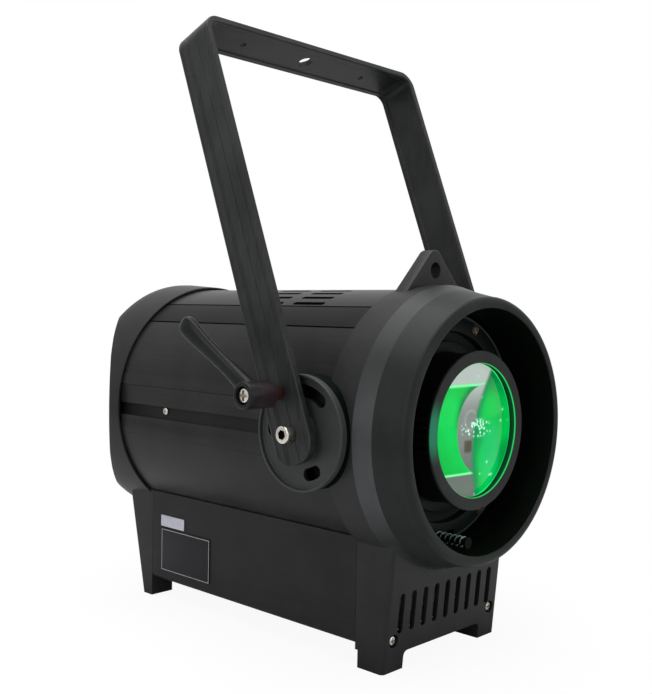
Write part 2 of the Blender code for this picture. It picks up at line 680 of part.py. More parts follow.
def body_shell(colour):
    outline = [(x, AXIS_Z + z) for x, z in body_outline()]
    start, end = depth(FRONT_JOINT + GAP), depth(BODY_END)
    shell = prism("body_shell", outline, "Y", start, end)
    tools = [turned("bore", rod(BODY_BORE, 0, 0.4), "Y", (0, FRONT, AXIS_Z), 32)]
    cut(shell, *tools)
    tools = []
    r = VENT_WIDTH / 2
    for row in range(VENT_ROWS):
        angle = (row - (VENT_ROWS - 1) / 2) * VENT_PITCH
        for column in range(VENT_COLUMNS):
            y0 = depth(VENT_START + column * VENT_STEP)
            outline = arc((0, y0 + VENT_LENGTH - r), r, 0, 180, 2) + arc((0, y0 + r), r, 180, 360, 2)
            vent = prism("vent", outline, "Z", BODY_RADIUS - 2 * BODY_WALL, BODY_RADIUS + BODY_WALL,
                         (0, 0, AXIS_Z))
            vent.rotation_euler.y = radians(angle)
            tools.append(vent)
    half, length = CABLE_HOLE[0] / 2, CABLE_HOLE[1]
    tools.append(box("cable_hole", (-half, depth(CABLE_HOLE_START), AXIS_Z - BODY_RADIUS - 0.01),
                     (half, depth(CABLE_HOLE_START + length), AXIS_Z - BODY_RADIUS + 0.02)))
    for side in (-1, 1):
        tools.append(turned("pivot_hole", rod(BOLT_RADIUS + GAP, BLOCK_FACE, DISC_FACE), "X", PIVOT, 14))
        tools[-1].scale.x = side
        tools.append(turned("screw_hole", rod(SIDE_SCREW_SHANK + GAP, BLOCK_FACE, DISC_FACE), "X",
                            (0, depth(SIDE_SCREW_DEPTH), AXIS_Z), 8))
        tools[-1].scale.x = side
    cut(shell, *tools)
    return paint(shell, colour)


def base_tray(colour):
    start, end = depth(FRONT_JOINT + GAP), depth(BASE_END)
    top = AXIS_Z - BASE_BELOW
    tray = box("base_tray", (-BASE_HALF, start, BASE_BOTTOM), (BASE_HALF, end, top))
    inner = BASE_HALF - BASE_WALL
    cut(tray, box("inside", (-inner, start - 0.01, BASE_BOTTOM + BASE_WALL), (inner, end + 0.01, top + 0.01)),
        turned("body_space", rod(BODY_RADIUS + GAP, -0.01, 0.4), "Y", (0, FRONT, AXIS_Z), 56))
    ports = [box("port", (-BASE_HALF + BASE_WALL / 2, start, BASE_BOTTOM + BASE_WALL / 2),
                 (-SCREW_X + 0.005, end, SCREW_Z + 0.005)),
             box("port", (SCREW_X - 0.005, start, BASE_BOTTOM + BASE_WALL / 2),
                 (BASE_HALF - BASE_WALL / 2, end, SCREW_Z + 0.005))]
    fuse(tray, *ports)
    tools = []
    for x in (-SCREW_X, SCREW_X):
        for y, way in ((start, 1), (end, -1)):
            tools.append(turned("thread", rod(LONG_SCREW_RADIUS + GAP, -0.005 * way,
                                              (LONG_SCREW_GRIP + 0.003) * way), "Y", (x, y, SCREW_Z), 8))
    cut(tray, *tools)
    return paint(tray, colour)


def long_screws(seat, colour):
    for number, x in enumerate((-SCREW_X, SCREW_X), 1):
        head = -LONG_HEAD_HEIGHT - GAP
        reach = FRONT_JOINT + LONG_SCREW_GRIP - seat
        screw = turned("skirt_screw_%d" % number,
                       [(0, head), (LONG_HEAD_RADIUS, head), (LONG_HEAD_RADIUS, -GAP),
                        (LONG_SCREW_RADIUS, -GAP), (LONG_SCREW_RADIUS, reach), (0, reach)], "Y",
                       (x, depth(seat), SCREW_Z), 8)
        paint(screw, colour)


def rod_places(value):
    places = [on_axis(ROD_CIRCLE, angle) for angle in ROD_ANGLES]
    for place in places:
        place.y = depth(value)
    return places


def lead_place(value=0.0):
    place = on_axis(SCREW_CIRCLE, SCREW_ANGLE)
    place.y = depth(value)
    return place


def guide_rods(colour):
    # The rods are held by the lamp plate and end just in front of the carriage.
    start = CARRIAGE_FACE - ROD_NOSE
    for number, place in enumerate(rod_places(0), 1):
        rod_made = turned("guide_rod_%d" % number,
                          [(0, start), (ROD_RADIUS - 0.0006, start), (ROD_RADIUS, start + 0.0006),
                           (ROD_RADIUS, PLATE_DEPTH - GAP), (0, PLATE_DEPTH - GAP)], "Y", place, 8)
        paint(rod_made, colour)


def lens_carriage(colour):
    back = CARRIAGE_FACE + CARRIAGE_THICK
    step = RECESS_OUTER + 0.0015
    bore = BARREL_RADIUS + GAP
    profile = [(CARRIAGE_RADIUS, CARRIAGE_FACE), (CARRIAGE_RADIUS, back), (step, back), (step, CARRIAGE_BACK),
               (bore, CARRIAGE_BACK), (bore, INNER_FACE), (RECESS_INNER, INNER_FACE),
               (RECESS_INNER, RECESS_FLOOR), (RECESS_OUTER, RECESS_FLOOR), (RECESS_OUTER, CARRIAGE_FACE)]
    plate = turned("lens_carriage", profile, "Y", (0, FRONT, AXIS_Z), 32)
    tools = [turned("hole", rod(LEAD_RADIUS + RUN, -0.01, 0.02), "Y", lead_place(CARRIAGE_FACE), 12)]
    for place in rod_places(CARRIAGE_FACE):
        tools.append(turned("hole", rod(BUSH_RADIUS - 0.0012 + GAP, -0.01, 0.02), "Y", place, 12))
    tools.append(box("notch", (NOTCH_X[0], depth(CARRIAGE_FACE) - 0.01, AXIS_Z - CARRIAGE_RADIUS - 0.01),
                     (NOTCH_X[1], depth(back) + 0.01, NOTCH_TOP)))
    cut(plate, *tools)
    return paint(plate, colour)


def slide_bushes(colour):
    # A neck through the carriage plate and a flange behind it.
    neck, bore = BUSH_RADIUS - 0.0012, ROD_RADIUS + RUN
    seat = CARRIAGE_THICK + GAP
    for number, place in enumerate(rod_places(CARRIAGE_FACE), 1):
        bush = turned("slide_bush_%d" % number,
                      [(neck, 0), (neck, seat), (BUSH_RADIUS, seat), (BUSH_RADIUS, BUSH_LENGTH),
                       (bore, BUSH_LENGTH), (bore, 0)], "Y", place, 12)
        paint(bush, colour)


def lead_nut(colour):
    seat = CARRIAGE_THICK + GAP
    bore = LEAD_RADIUS + RUN
    nut = turned("lead_nut", [(NUT_FLANGE, seat), (NUT_FLANGE, seat + 0.003), (NUT_RADIUS, seat + 0.003),
                              (NUT_RADIUS, NUT_LENGTH), (bore, NUT_LENGTH), (bore, seat)], "Y",
                 lead_place(CARRIAGE_FACE), 14)
    return paint(nut, colour)


def lens_barrel(colour):
    foot = CARRIAGE_BACK + GAP
    seat = BARREL_FACE + APERTURE_DEPTH
    bore = BARREL_RADIUS - BARREL_WALL
    profile = [(APERTURE, BARREL_FACE + 0.0008), (APERTURE, seat), (bore, seat), (bore, foot + 0.003),
               (BARREL_FOOT, foot + 0.003), (BARREL_FOOT, foot), (BARREL_RADIUS, foot),
               (BARREL_RADIUS, BARREL_FACE + BARREL_FLANGE_THICK),
               (BARREL_FLANGE, BARREL_FACE + BARREL_FLANGE_THICK), (BARREL_FLANGE, BARREL_FACE + 0.001),
               (BARREL_FLANGE - 0.001, BARREL_FACE), (APERTURE + 0.0008, BARREL_FACE)]
    barrel = turned("lens_barrel", profile, "Y", (0, FRONT, AXIS_Z), 32)
    ribs = []
    low, high = BARREL_FACE + BARREL_FLANGE_THICK - 0.001, BARREL_FACE + BARREL_FLANGE_THICK + 0.012
    for side in (0, 180):
        for i in range(GRIP_RIBS):
            rib = box("rib", (BARREL_RADIUS - 0.001, FRONT + low, -0.0006),
                      (BARREL_FLANGE + 0.0018, FRONT + high, 0.0006))
            turn = side + (i - (GRIP_RIBS - 1) / 2) * GRIP_PITCH
            rib.matrix_basis = Matrix.Translation((0, 0, AXIS_Z)) @ Matrix.Rotation(radians(turn), 4, "Y") \
                @ rib.matrix_basis
            ribs.append(rib)
    fuse(barrel, *ribs)
    return paint(barrel, colour)


def main_lens(colour):
    seat = BARREL_FACE + APERTURE_DEPTH + GAP
    edge = APERTURE - 0.0006
    sphere = (edge ** 2 + LENS_RISE ** 2) / (2 * LENS_RISE)
    span = asin(edge / sphere)
    dome = []
    for i in range(7):
        a = span * i / 6
        dome.append((sphere * sin(a), seat + sphere - LENS_RISE - sphere * cos(a)))
    profile = dome + [(LENS_RADIUS, seat), (LENS_RADIUS, seat + LENS_EDGE), (0, seat + LENS_EDGE)]
    lens = turned("main_lens", profile, "Y", (0, FRONT, AXIS_Z), 28)
    return paint(lens, colour)


def lens_retainer(colour):
    start = BARREL_FACE + APERTURE_DEPTH + 2 * GAP + LENS_EDGE
    ring = turned("lens_retainer", tube(LENS_RADIUS + 0.0002, RETAINER_BORE, start, start + RETAINER_THICK),
                  "Y", (0, FRONT, AXIS_Z), 28)
    return paint(ring, colour)


def lead_screw(colour):
    end = PLATE_DEPTH + PLATE_THICK
    neck_start = LEAD_TIP + LEAD_COLLAR_LENGTH
    neck_end = CARRIAGE_FACE - GAP
    screw = turned("lead_screw", [(0, LEAD_TIP), (LEAD_COLLAR, LEAD_TIP), (LEAD_COLLAR, neck_start),
                                  (LEAD_NECK, neck_start), (LEAD_NECK, neck_end), (LEAD_RADIUS, neck_end),
                                  (LEAD_RADIUS, end), (0, end)], "Y", lead_place(), 12)
    return paint(screw, colour)


def stop_spring(colour):
    # A helix round the neck of the lead screw, between its collar and the carriage.
    start = LEAD_TIP + LEAD_COLLAR_LENGTH + GAP + SPRING_WIRE
    end = CARRIAGE_FACE - GAP - SPRING_WIRE
    count = SPRING_TURNS * SPRING_POINTS + 1
    points = []
    for i in range(count):
        turn = 2 * pi * i / SPRING_POINTS
        points.append(Vector((SPRING_RADIUS * cos(turn), start + (end - start) * i / (count - 1),
                              SPRING_RADIUS * sin(turn))))
    curve = bpy.data.curves.new("stop_spring", "CURVE")
    curve.dimensions = "3D"
    curve.bevel_depth = SPRING_WIRE
    curve.bevel_resolution = 1
    curve.use_fill_caps = True
    spline = curve.splines.new("POLY")
    spline.points.add(count - 1)
    for place, point in zip(spline.points, points):
        place.co = (*point, 1)
    apart = min((points[i] - points[j]).length for i in range(count)
                for j in range(i + SPRING_POINTS - 2, count))
    print("stop spring, least gap between its turns in mm:", round((apart - 2 * SPRING_WIRE) * 1000, 2))
    wound = bpy.data.objects.new("wound", curve)
    bpy.context.collection.objects.link(wound)
    graph = bpy.context.evaluated_depsgraph_get()
    mesh = bpy.data.meshes.new_from_object(wound.evaluated_get(graph))
    bpy.data.objects.remove(wound, do_unlink=True)
    bm = bmesh.new()
    bm.from_mesh(mesh)
    bmesh.ops.remove_doubles(bm, verts=bm.verts, dist=1e-6)
    return paint(finish("stop_spring", bm, lead_place()), colour)


def zoom_motor(colour):
    start = PLATE_DEPTH + PLATE_THICK + GAP
    place = lead_place(start)
    motor = box("zoom_motor", (place.x - MOTOR_HALF, place.y, place.z - MOTOR_HALF),
                (place.x + MOTOR_HALF, place.y + MOTOR_LENGTH, place.z + MOTOR_HALF))
    outside = tube(REAR_RADIUS + MOTOR_HALF, BODY_BORE - 2 * GAP, start - 0.01, start + MOTOR_LENGTH + 0.01)
    cut(motor, turned("outside", outside, "Y", (0, FRONT, AXIS_Z), 32))
    return paint(motor, colour)


def lamp_plate(colour):
    plate = turned("lamp_plate", tube(BODY_BORE - GAP, PLATE_BORE, 0, PLATE_THICK), "Y",
                   (0, depth(PLATE_DEPTH), AXIS_Z), 32)
    cut(plate, turned("screw_hole", rod(LEAD_RADIUS + RUN, -0.01, 0.02), "Y", lead_place(PLATE_DEPTH), 12))
    return paint(plate, colour)


def small_screw(head_seat, reach):
    # A pan head whose axis is X, seated at the given distance and pointing inwards.
    return [(0, head_seat + 0.0018), (SIDE_SCREW_HEAD * 0.7, head_seat + 0.0018),
            (SIDE_SCREW_HEAD, head_seat + 0.0008), (SIDE_SCREW_HEAD, head_seat + GAP),
            (SIDE_SCREW_SHANK, head_seat + GAP), (SIDE_SCREW_SHANK, head_seat - reach),
            (0, head_seat - reach)]


def side_screws(colour):
    for side, turn in (("left", 180), ("right", 0)):
        screw = turned("side_screw_" + side, small_screw(LAND_X - CHANNEL_DEPTH, 0.007), "X",
                       (0, depth(SIDE_SCREW_DEPTH), AXIS_Z), 8)
        screw.rotation_euler.z = radians(turn)
        paint(screw, colour)


def lamp(board_colour, emitter_colour, mirror_colour):
    sink_front = PLATE_DEPTH + PLATE_THICK + GAP
    board_front = sink_front - GAP - BOARD_THICK
    board = turned("led_board", rod(BOARD_RADIUS, board_front, board_front + BOARD_THICK), "Y",
                   (0, FRONT, AXIS_Z), 24)
    emitter_back = board_front - GAP
    emitter = turned("led_emitter", rod(EMITTER_RADIUS, emitter_back - EMITTER_THICK, emitter_back), "Y",
                     (0, FRONT, AXIS_Z), 16)
    flange_back = PLATE_DEPTH - GAP
    mouth = flange_back - REFLECTOR_LENGTH
    w = REFLECTOR_WALL
    throat = REFLECTOR_THROAT
    middle = (REFLECTOR_MOUTH + throat) / 2 + 2 * w
    waist = flange_back - REFLECTOR_LENGTH * 0.45
    profile = [(throat, flange_back + BOARD_THICK), (middle, waist), (REFLECTOR_MOUTH, mouth),
               (REFLECTOR_MOUTH + w, mouth), (middle + w, waist), (throat + 3 * w, flange_back - 2 * w),
               (REFLECTOR_FLANGE, flange_back - 2 * w), (REFLECTOR_FLANGE, flange_back),
               (throat + 2 * w, flange_back), (throat + w, flange_back + BOARD_THICK)]
    mirror = turned("reflector", profile, "Y", (0, FRONT, AXIS_Z), 24)
    paint(board, board_colour)
    paint(emitter, emitter_colour)
    paint(mirror, mirror_colour)


def heatsink(colour):
    start = PLATE_DEPTH + PLATE_THICK + GAP
    half = SINK_WIDTH / 2
    step = (SINK_WIDTH - FIN_THICK) / (FIN_COUNT - 1)
    outline = [(half, depth(start)), (-half, depth(start))]
    for i in range(FIN_COUNT):
        x = -half + i * step
        base = depth(start + SINK_BASE)
        tip = depth(start + SINK_BASE + FIN_LENGTH)
        if i > 0:
            outline.append((x, base))
        outline += [(x, tip), (x + FIN_THICK, tip)]
        if i < FIN_COUNT - 1:
            outline.append((x + FIN_THICK, base))
    sink = prism("heatsink", outline, "Z", AXIS_Z - SINK_HEIGHT / 2, AXIS_Z + SINK_HEIGHT / 2)
    return paint(sink, colour)


def fan(frame_colour, rotor_colour, bracket_colour):
    start = FAN_START
    end = start + FAN_THICK
    half = FAN_SIZE / 2
    cuts = FAN_CORNER
    outline = [(s * half if a else s * (half - cuts), AXIS_Z + t * (half - cuts) if a else AXIS_Z + t * half)
               for s, t, a in ((1, -1, 1), (1, 1, 1), (1, 1, 0), (-1, 1, 0), (-1, 1, 1), (-1, -1, 1),
                               (-1, -1, 0), (1, -1, 0))]
    frame = prism("fan_frame", outline, "Y", depth(start), depth(end))
    cut(frame, turned("bore", rod(FAN_BORE, start - 0.01, end + 0.01), "Y", (0, FRONT, AXIS_Z), 28))
    strut = FAN_STRUT
    struts = [box("strut", (-FAN_BORE - 0.001, depth(end - strut), AXIS_Z - strut),
                  (FAN_BORE + 0.001, depth(end), AXIS_Z + strut)),
              box("strut", (-strut, depth(end - strut), AXIS_Z - FAN_BORE - 0.001),
                  (strut, depth(end), AXIS_Z + FAN_BORE + 0.001)),
              turned("seat", rod(FAN_HUB, end - strut, end), "Y", (0, FRONT, AXIS_Z), 16)]
    fuse(frame, *struts)
    place = FAN_SIZE / 2 - FAN_HOLE_INSET
    corners = [(s * place, AXIS_Z + t * place) for s in (-1, 1) for t in (-1, 1)]
    tools = [turned("hole", rod(FAN_HOLE, start - 0.01, end + 0.01), "Y", (x, FRONT, z), 8)
             for x, z in corners]
    tools.append(turned("shaft_bore", rod(FAN_SHAFT + RUN, start, end - 0.001), "Y", (0, FRONT, AXIS_Z), 8))
    cut(frame, *tools)
    paint(frame, frame_colour)
    hub_end = end - strut - GAP
    face = start + 0.001
    rotor = turned("fan_rotor", [(0, face), (FAN_HUB - 0.001, face), (FAN_HUB, face + 0.001),
                                 (FAN_HUB, hub_end), (FAN_SHAFT, hub_end), (FAN_SHAFT, end - strut / 2),
                                 (0, end - strut / 2)], "Y", (0, FRONT, AXIS_Z), 16)
    blades = []
    middle = depth((start + hub_end) / 2)
    for i in range(FAN_BLADES):
        blade = box("blade", (FAN_HUB - 0.002, -BLADE_THICK / 2, -BLADE_WIDTH / 2),
                    (FAN_BORE - 0.002, BLADE_THICK / 2, BLADE_WIDTH / 2))
        blade.matrix_basis = Matrix.Translation((0, middle, AXIS_Z)) \
            @ Matrix.Rotation(radians(i * 360 / FAN_BLADES), 4, "Y") \
            @ Matrix.Rotation(radians(BLADE_PITCH), 4, "X") @ blade.matrix_basis
        blades.append(blade)
    fuse(rotor, *blades)
    paint(rotor, rotor_colour)
    bracket_end = BRACKET_START + BRACKET_THICK
    bracket = turned("fan_bracket", tube(BODY_BORE - GAP, FAN_BORE, BRACKET_START, bracket_end), "Y",
                     (0, FRONT, AXIS_Z), 32)
    tools = [turned("hole", rod(FAN_HOLE - RUN, BRACKET_START - 0.01, bracket_end - CAST_WALL), "Y",
                    (x, FRONT, z), 8) for x, z in corners]
    for turn in (0, 180):
        hole = turned("thread", rod(SIDE_SCREW_SHANK + GAP, BODY_BORE - 0.012, BODY_BORE + 0.01), "X",
                      (0, depth(SIDE_SCREW_DEPTH), AXIS_Z), 8)
        hole.rotation_euler.z = radians(turn)
        tools.append(hole)
    cut(bracket, *tools)
    paint(bracket, bracket_colour)


def supply(case_colour, board_colour):
    floor = BASE_BOTTOM + BASE_WALL + GAP
    case = box("power_supply", (-SUPPLY_HALF, depth(SUPPLY_START), floor),
               (SUPPLY_HALF, depth(SUPPLY_START + SUPPLY_LENGTH), floor + SUPPLY_HEIGHT))
    paint(case, case_colour)
    top = floor + DRIVER_STANDOFF
    start, end = depth(DRIVER_START), depth(DRIVER_START + DRIVER_LENGTH)
    board = box("driver_board", (-DRIVER_HALF, start, top), (DRIVER_HALF, end, top + DRIVER_THICK))
    over = top + DRIVER_THICK - 0.0004
    pieces = [box(name, (left, start + near, over), (right, start + far, over + height))
              for name, (left, right, near, far, height) in DRIVER_PARTS.items()]
    pieces.append(turned("can", rod(CAN_RADIUS, 0, CAN_HEIGHT), "Z",
                         (CAN_PLACE[0], start + CAN_PLACE[1], over), 12))
    for x in (POST_INSET - DRIVER_HALF, DRIVER_HALF - POST_INSET):
        for y in (start + POST_INSET, end - POST_INSET):
            pieces.append(turned("post", rod(POST_RADIUS, 0, DRIVER_STANDOFF + DRIVER_THICK / 2), "Z",
                                 (x, y, floor), 8))
    fuse(board, *pieces)
    paint(board, board_colour)


def plates(rating_colour, sticker_colour):
    rows = (("rating_plate", RATING_BEHIND, RATING_LENGTH, RATING_LOW, RATING_HEIGHT, rating_colour),
            ("small_sticker", STICKER_BEHIND, STICKER_LENGTH, STICKER_LOW, STICKER_HEIGHT, sticker_colour))
    for name, behind, length, low, height, colour in rows:
        end = BASE_END - behind
        plate = box(name, (-BASE_HALF - GAP - PLATE_THIN, depth(end - length), low),
                    (-BASE_HALF - GAP, depth(end), low + height))
        paint(plate, colour)


def side_discs(colour):
    face, floor = DISC_FACE, DISC_FACE - CUP_DEPTH
    under = floor - CUP_FLOOR
    disc = turned("side_disc", rod(DISC_RADIUS, -face, -DISC_BACK), "X", PIVOT, 28)
    body_cut = turned("body_cut", rod(BODY_RADIUS + GAP, FRONT_JOINT, 0.3), "Y", (0, FRONT, AXIS_Z), 48)
    ring_cut = turned("ring_cut", rod(RING_RADIUS + GAP, 0, FRONT_JOINT + GAP), "Y", (0, FRONT, AXIS_Z), 48)
    cup = turned("cup", tube(CUP_RADIUS, HUB_RADIUS, -face - 0.01, -floor), "X", PIVOT, 28)
    track = turned("track", tube(TRACK_OUTER, TRACK_INNER, -under, -DISC_BACK + 0.01), "X", PIVOT, 28)
    bore = turned("bore", rod(BOLT_RADIUS + GAP, -ARM_INNER - 0.01, -DISC_BACK + 0.01), "X", PIVOT, 14)
    fuse(disc, turned("hub", rod(HUB_RADIUS - 0.002, GAP - ARM_INNER, 0.001 - face), "X", PIVOT, 20))
    cut(disc, body_cut, ring_cut, cup, track, bore)
    half = STUD_RADIUS + 0.0006
    rest = 90 + YOKE_LEAN
    spans = [(rest - TILT_FORWARD - 1, rest + TILT_BACK + 1), LOW_SLOT]
    slots = []
    for start, end in spans:
        outer = [(PIVOT.y - p[0], PIVOT.z + p[1]) for p in arc((0, 0), STUD_UP + half, start, end, 10)]
        inner = [(PIVOT.y - p[0], PIVOT.z + p[1]) for p in arc((0, 0), STUD_UP - half, end, start, 10)]
        slots.append(prism("slot", outer + inner, "X", -floor - 0.001, -under + 0.001))
        for angle in (start, end):
            centre = (0, PIVOT.y - STUD_UP * cos(radians(angle)), PIVOT.z + STUD_UP * sin(radians(angle)))
            slots.append(turned("slot_end", rod(half, -floor - 0.001, -under + 0.001), "X", centre, 12))
    for slot in slots:
        cut(disc, slot)
    return both_sides("side_disc", disc, colour)


def yoke(colour):
    bend = YOKE_BEND
    outer_x, inner_x = YOKE_OUTER, ARM_INNER
    top, under = YOKE_REACH, YOKE_REACH - YOKE_THICK
    outer = arc((outer_x - bend, top - bend), bend, 0, 90, 6)
    inner = arc((inner_x - (bend - YOKE_THICK), under - (bend - YOKE_THICK)), bend - YOKE_THICK, 90, 0, 6)
    right = [(outer_x, -YOKE_END)] + outer
    left = [(-x, z) for x, z in reversed(right)]
    right_in = inner + [(inner_x, -YOKE_END)]
    left_in = [(-x, z) for x, z in reversed(right_in)]
    bar = prism("yoke", right + left + left_in + right_in, "Y", -YOKE_WIDTH / 2, YOKE_WIDTH / 2)
    half, corner = YOKE_WIDTH / 2, YOKE_CORNER
    rounded = arc((half - corner, -YOKE_END + corner), corner, 270, 360, 6)
    side = rounded + [(half, top + 0.01), (-half, top + 0.01)]
    side += arc((-half + corner, -YOKE_END + corner), corner, 180, 270, 6)
    shape = prism("shape", side, "X", -outer_x - 0.01, outer_x + 0.01)
    combine(bar, [shape], "INTERSECT")
    across = outer_x + 0.01
    tools = [turned("pivot_bore", rod(BOLT_RADIUS + GAP, -across, across), "X", (0, 0, 0), 14),
             turned("stud_bore", rod(STUD_RADIUS + GAP, -across, across), "X", (0, 0, STUD_UP), 14),
             turned("cross_hole", rod(CROSS_HOLE_RADIUS, under - 0.01, top + 0.01), "Z", (0, 0, 0), 16)]
    for x in (-SIDE_HOLE_X, SIDE_HOLE_X):
        tools.append(turned("side_hole", rod(SIDE_HOLE_RADIUS, under - 0.01, top + 0.01), "Z", (x, 0, 0), 8))
    cut(bar, *tools)
    bar.location = PIVOT
    bar.rotation_euler.x = radians(-YOKE_LEAN)
    return paint(bar, colour)


def pivot_set(bolt_colour, block_colour):
    seat = YOKE_OUTER + GAP
    head = seat + BOLT_HEAD_HEIGHT
    bolt = turned("pivot_bolt", [(0, SOCKET_DEPTH - head), (SOCKET_RADIUS, SOCKET_DEPTH - head),
                                 (SOCKET_RADIUS, -head), (BOLT_HEAD_RADIUS - 0.0006, -head),
                                 (BOLT_HEAD_RADIUS, 0.0006 - head), (BOLT_HEAD_RADIUS, -seat),
                                 (BOLT_RADIUS, -seat), (BOLT_RADIUS, -BLOCK_FACE - 0.001),
                                 (0, -BLOCK_FACE - 0.001)], "X", PIVOT, 12)
    half_y, half_z = BLOCK_HALF
    block = box("pivot_block", (-BODY_BORE, PIVOT.y - half_y + BLOCK_SHORT, PIVOT.z - half_z),
                (-BLOCK_FACE, PIVOT.y + half_y, PIVOT.z + half_z))
    outside = tube(DISC_FACE, BODY_BORE - GAP, PIVOT_DEPTH - DISC_RADIUS, PIVOT_DEPTH + DISC_RADIUS)
    cut(block, turned("outside", outside, "Y", (0, FRONT, AXIS_Z), 32),
        turned("thread", rod(BOLT_RADIUS + GAP, -DISC_FACE, BLOCK_THICK - BLOCK_FACE), "X", PIVOT, 14))
    both_sides("pivot_bolt", bolt, bolt_colour)
    both_sides("pivot_block", block, block_colour)


def slider_nuts(colour):
    tangent, radial, thick = NUT_BLOCK
    face = DISC_FACE - CUP_DEPTH - CUP_FLOOR - GAP
    nut = box("slider_nut", (-face, -tangent, -radial), (thick - face, tangent, radial))
    nut.matrix_basis = Matrix.Translation(STUD) @ Matrix.Rotation(radians(-YOKE_LEAN), 4, "X") \
        @ nut.matrix_basis
    cut(nut, turned("thread", rod(STUD_RADIUS + GAP, -YOKE_OUTER, -DISC_BACK), "X", STUD, 14))
    both_sides("slider_nut", nut, colour)


def clamp_levers(stud_colour, lever_colour, screw_colour):
    nut_inner = DISC_FACE - CUP_DEPTH - CUP_FLOOR - GAP - NUT_BLOCK[2]
    collar = YOKE_OUTER + GAP
    hub_start = collar + COLLAR_LENGTH + GAP
    pocket = hub_start + LEVER_WEB
    collar_end = collar + COLLAR_LENGTH
    cap_seat = STUD_END + GAP
    cap_top, cap_end = cap_seat + CAP_HEAD_HEIGHT, cap_seat - CAP_SHANK_LENGTH
    bore = CAP_SHANK_RADIUS + GAP
    bottom = STUD_END - CAP_SHANK_LENGTH - 0.001
    stud = turned("clamp_stud", [(0, -nut_inner), (STUD_RADIUS, -nut_inner), (STUD_RADIUS, -collar),
                                 (COLLAR_RADIUS, -collar), (COLLAR_RADIUS, -collar_end),
                                 (NECK_RADIUS, -collar_end), (NECK_RADIUS, -STUD_END), (bore, -STUD_END),
                                 (bore, -bottom), (0, -bottom)], "X", STUD, 12)
    cap = turned("lever_screw", [(0, -cap_top), (CAP_HEAD_RADIUS - 0.001, -cap_top),
                                 (CAP_HEAD_RADIUS, 0.001 - cap_top), (CAP_HEAD_RADIUS, -cap_seat),
                                 (CAP_SHANK_RADIUS, -cap_seat), (CAP_SHANK_RADIUS, -cap_end), (0, -cap_end)],
                 "X", STUD, 12)
    hub_bore, edge = NECK_RADIUS + RUN, LEVER_HUB_EDGE
    hub = turned("clamp_lever", [(LEVER_HUB_RADIUS - edge, -hub_start), (LEVER_HUB_RADIUS, -hub_start - edge),
                                 (LEVER_HUB_RADIUS, edge - HUB_END), (LEVER_HUB_RADIUS - edge, -HUB_END),
                                 (POCKET_RADIUS, -HUB_END), (POCKET_RADIUS, -pocket), (hub_bore, -pocket),
                                 (hub_bore, -hub_start)], "X", STUD, 16)
    handle = lever_handle()
    space = rod(POCKET_RADIUS + 0.001, -HUB_END - 0.01, -hub_start + 0.01)
    cut(handle, turned("hub_space", space, "X", STUD, 16))
    fuse(hub, handle)
    both_sides("clamp_stud", stud, stud_colour)
    both_sides("lever_screw", cap, screw_colour)
    both_sides("clamp_lever", hub, lever_colour)


def lever_handle():
    # Stations from the hub to the tip: share of the length, half width and half thickness.
    stations = ((0.0, 0.0075, 0.0060), (0.16, 0.0068, 0.0055), (0.35, 0.0058, 0.0046),
                (0.55, 0.0060, 0.0044), (0.75, 0.0072, 0.0047), (0.90, 0.0080, 0.0047),
                (0.965, 0.0066, 0.0040), (1.0, 0.0030, 0.0022))
    sides = 12
    along = Vector((0, cos(radians(LEVER_ANGLE)), sin(radians(LEVER_ANGLE))))
    across = Vector((0, -sin(radians(LEVER_ANGLE)), cos(radians(LEVER_ANGLE))))
    bm = bmesh.new()
    rings = []
    for share, wide, thick in stations:
        rise = share * share * (3 - 2 * share)
        x = -(LEVER_ROOT_X + (LEVER_TIP_X - LEVER_ROOT_X) * rise)
        middle = Vector((x, 0, 0)) + along * LEVER_LENGTH * share
        rings.append([bm.verts.new(middle + across * wide * cos(2 * pi * i / sides)
                                   + Vector((1, 0, 0)) * thick * sin(2 * pi * i / sides))
                      for i in range(sides)])
    for first, second in zip(rings, rings[1:]):
        for i in range(sides):
            j = (i + 1) % sides
            bm.faces.new((first[i], first[j], second[j], second[i]))
    bm.faces.new(rings[0])
    bm.faces.new(rings[-1])
    return finish("handle", bm, (0, STUD.y, STUD.z))


def rear_panel(colour):
    panel = panel_shape("rear_panel", PANEL_RADIUS, PANEL_FLAT, PANEL_DEPTH, PANEL_DEPTH + PANEL_THICK)
    low, high = depth(PANEL_DEPTH) - 0.01, depth(PANEL_DEPTH) + 0.01
    tools = []
    for x, z in socket_places():
        tools.append(turned("socket_hole", rod(SOCKET_BARREL + GAP, -0.01, 0.01), "Y",
                            (x, depth(PANEL_DEPTH), z), 16))
    for x, z in button_places():
        tools.append(turned("button_hole", rod(BUTTON_RADIUS + RUN, -0.01, 0.01), "Y",
                            (x, depth(PANEL_DEPTH), z), 12))
    half_x, half_z = DISPLAY_SIZE[0] / 2 - 0.002, DISPLAY_SIZE[1] / 2 - 0.002
    tools.append(box("display_hole", (DISPLAY_X - half_x, low, AXIS_Z + DISPLAY_Z - half_z),
                     (DISPLAY_X + half_x, high, AXIS_Z + DISPLAY_Z + half_z)))
    r = GRILLE_WIDTH / 2
    for i in range(GRILLE_SLOTS):
        z = GRILLE_LOW + i * GRILLE_PITCH
        reach = sqrt(GRILLE_REACH ** 2 - (z + r) ** 2) if z + r < GRILLE_REACH else 0
        reach = min(reach, PANEL_FLAT - FLAT_LEDGE - GRILLE_MARGIN)
        if reach > 3 * r:
            outline = arc((reach - r, AXIS_Z + z), r, -90, 90, 2)
            outline += arc((r - reach, AXIS_Z + z), r, 90, 270, 2)
            tools.append(prism("grille", outline, "Y", low, high))
    cut(panel, *tools)
    return paint(panel, colour)


def socket_places():
    spots = []
    for i in range(4):
        spots.append(((i - 1.5) * 2 * SOCKET_X, AXIS_Z + SOCKET_ROW_Z))
    return spots


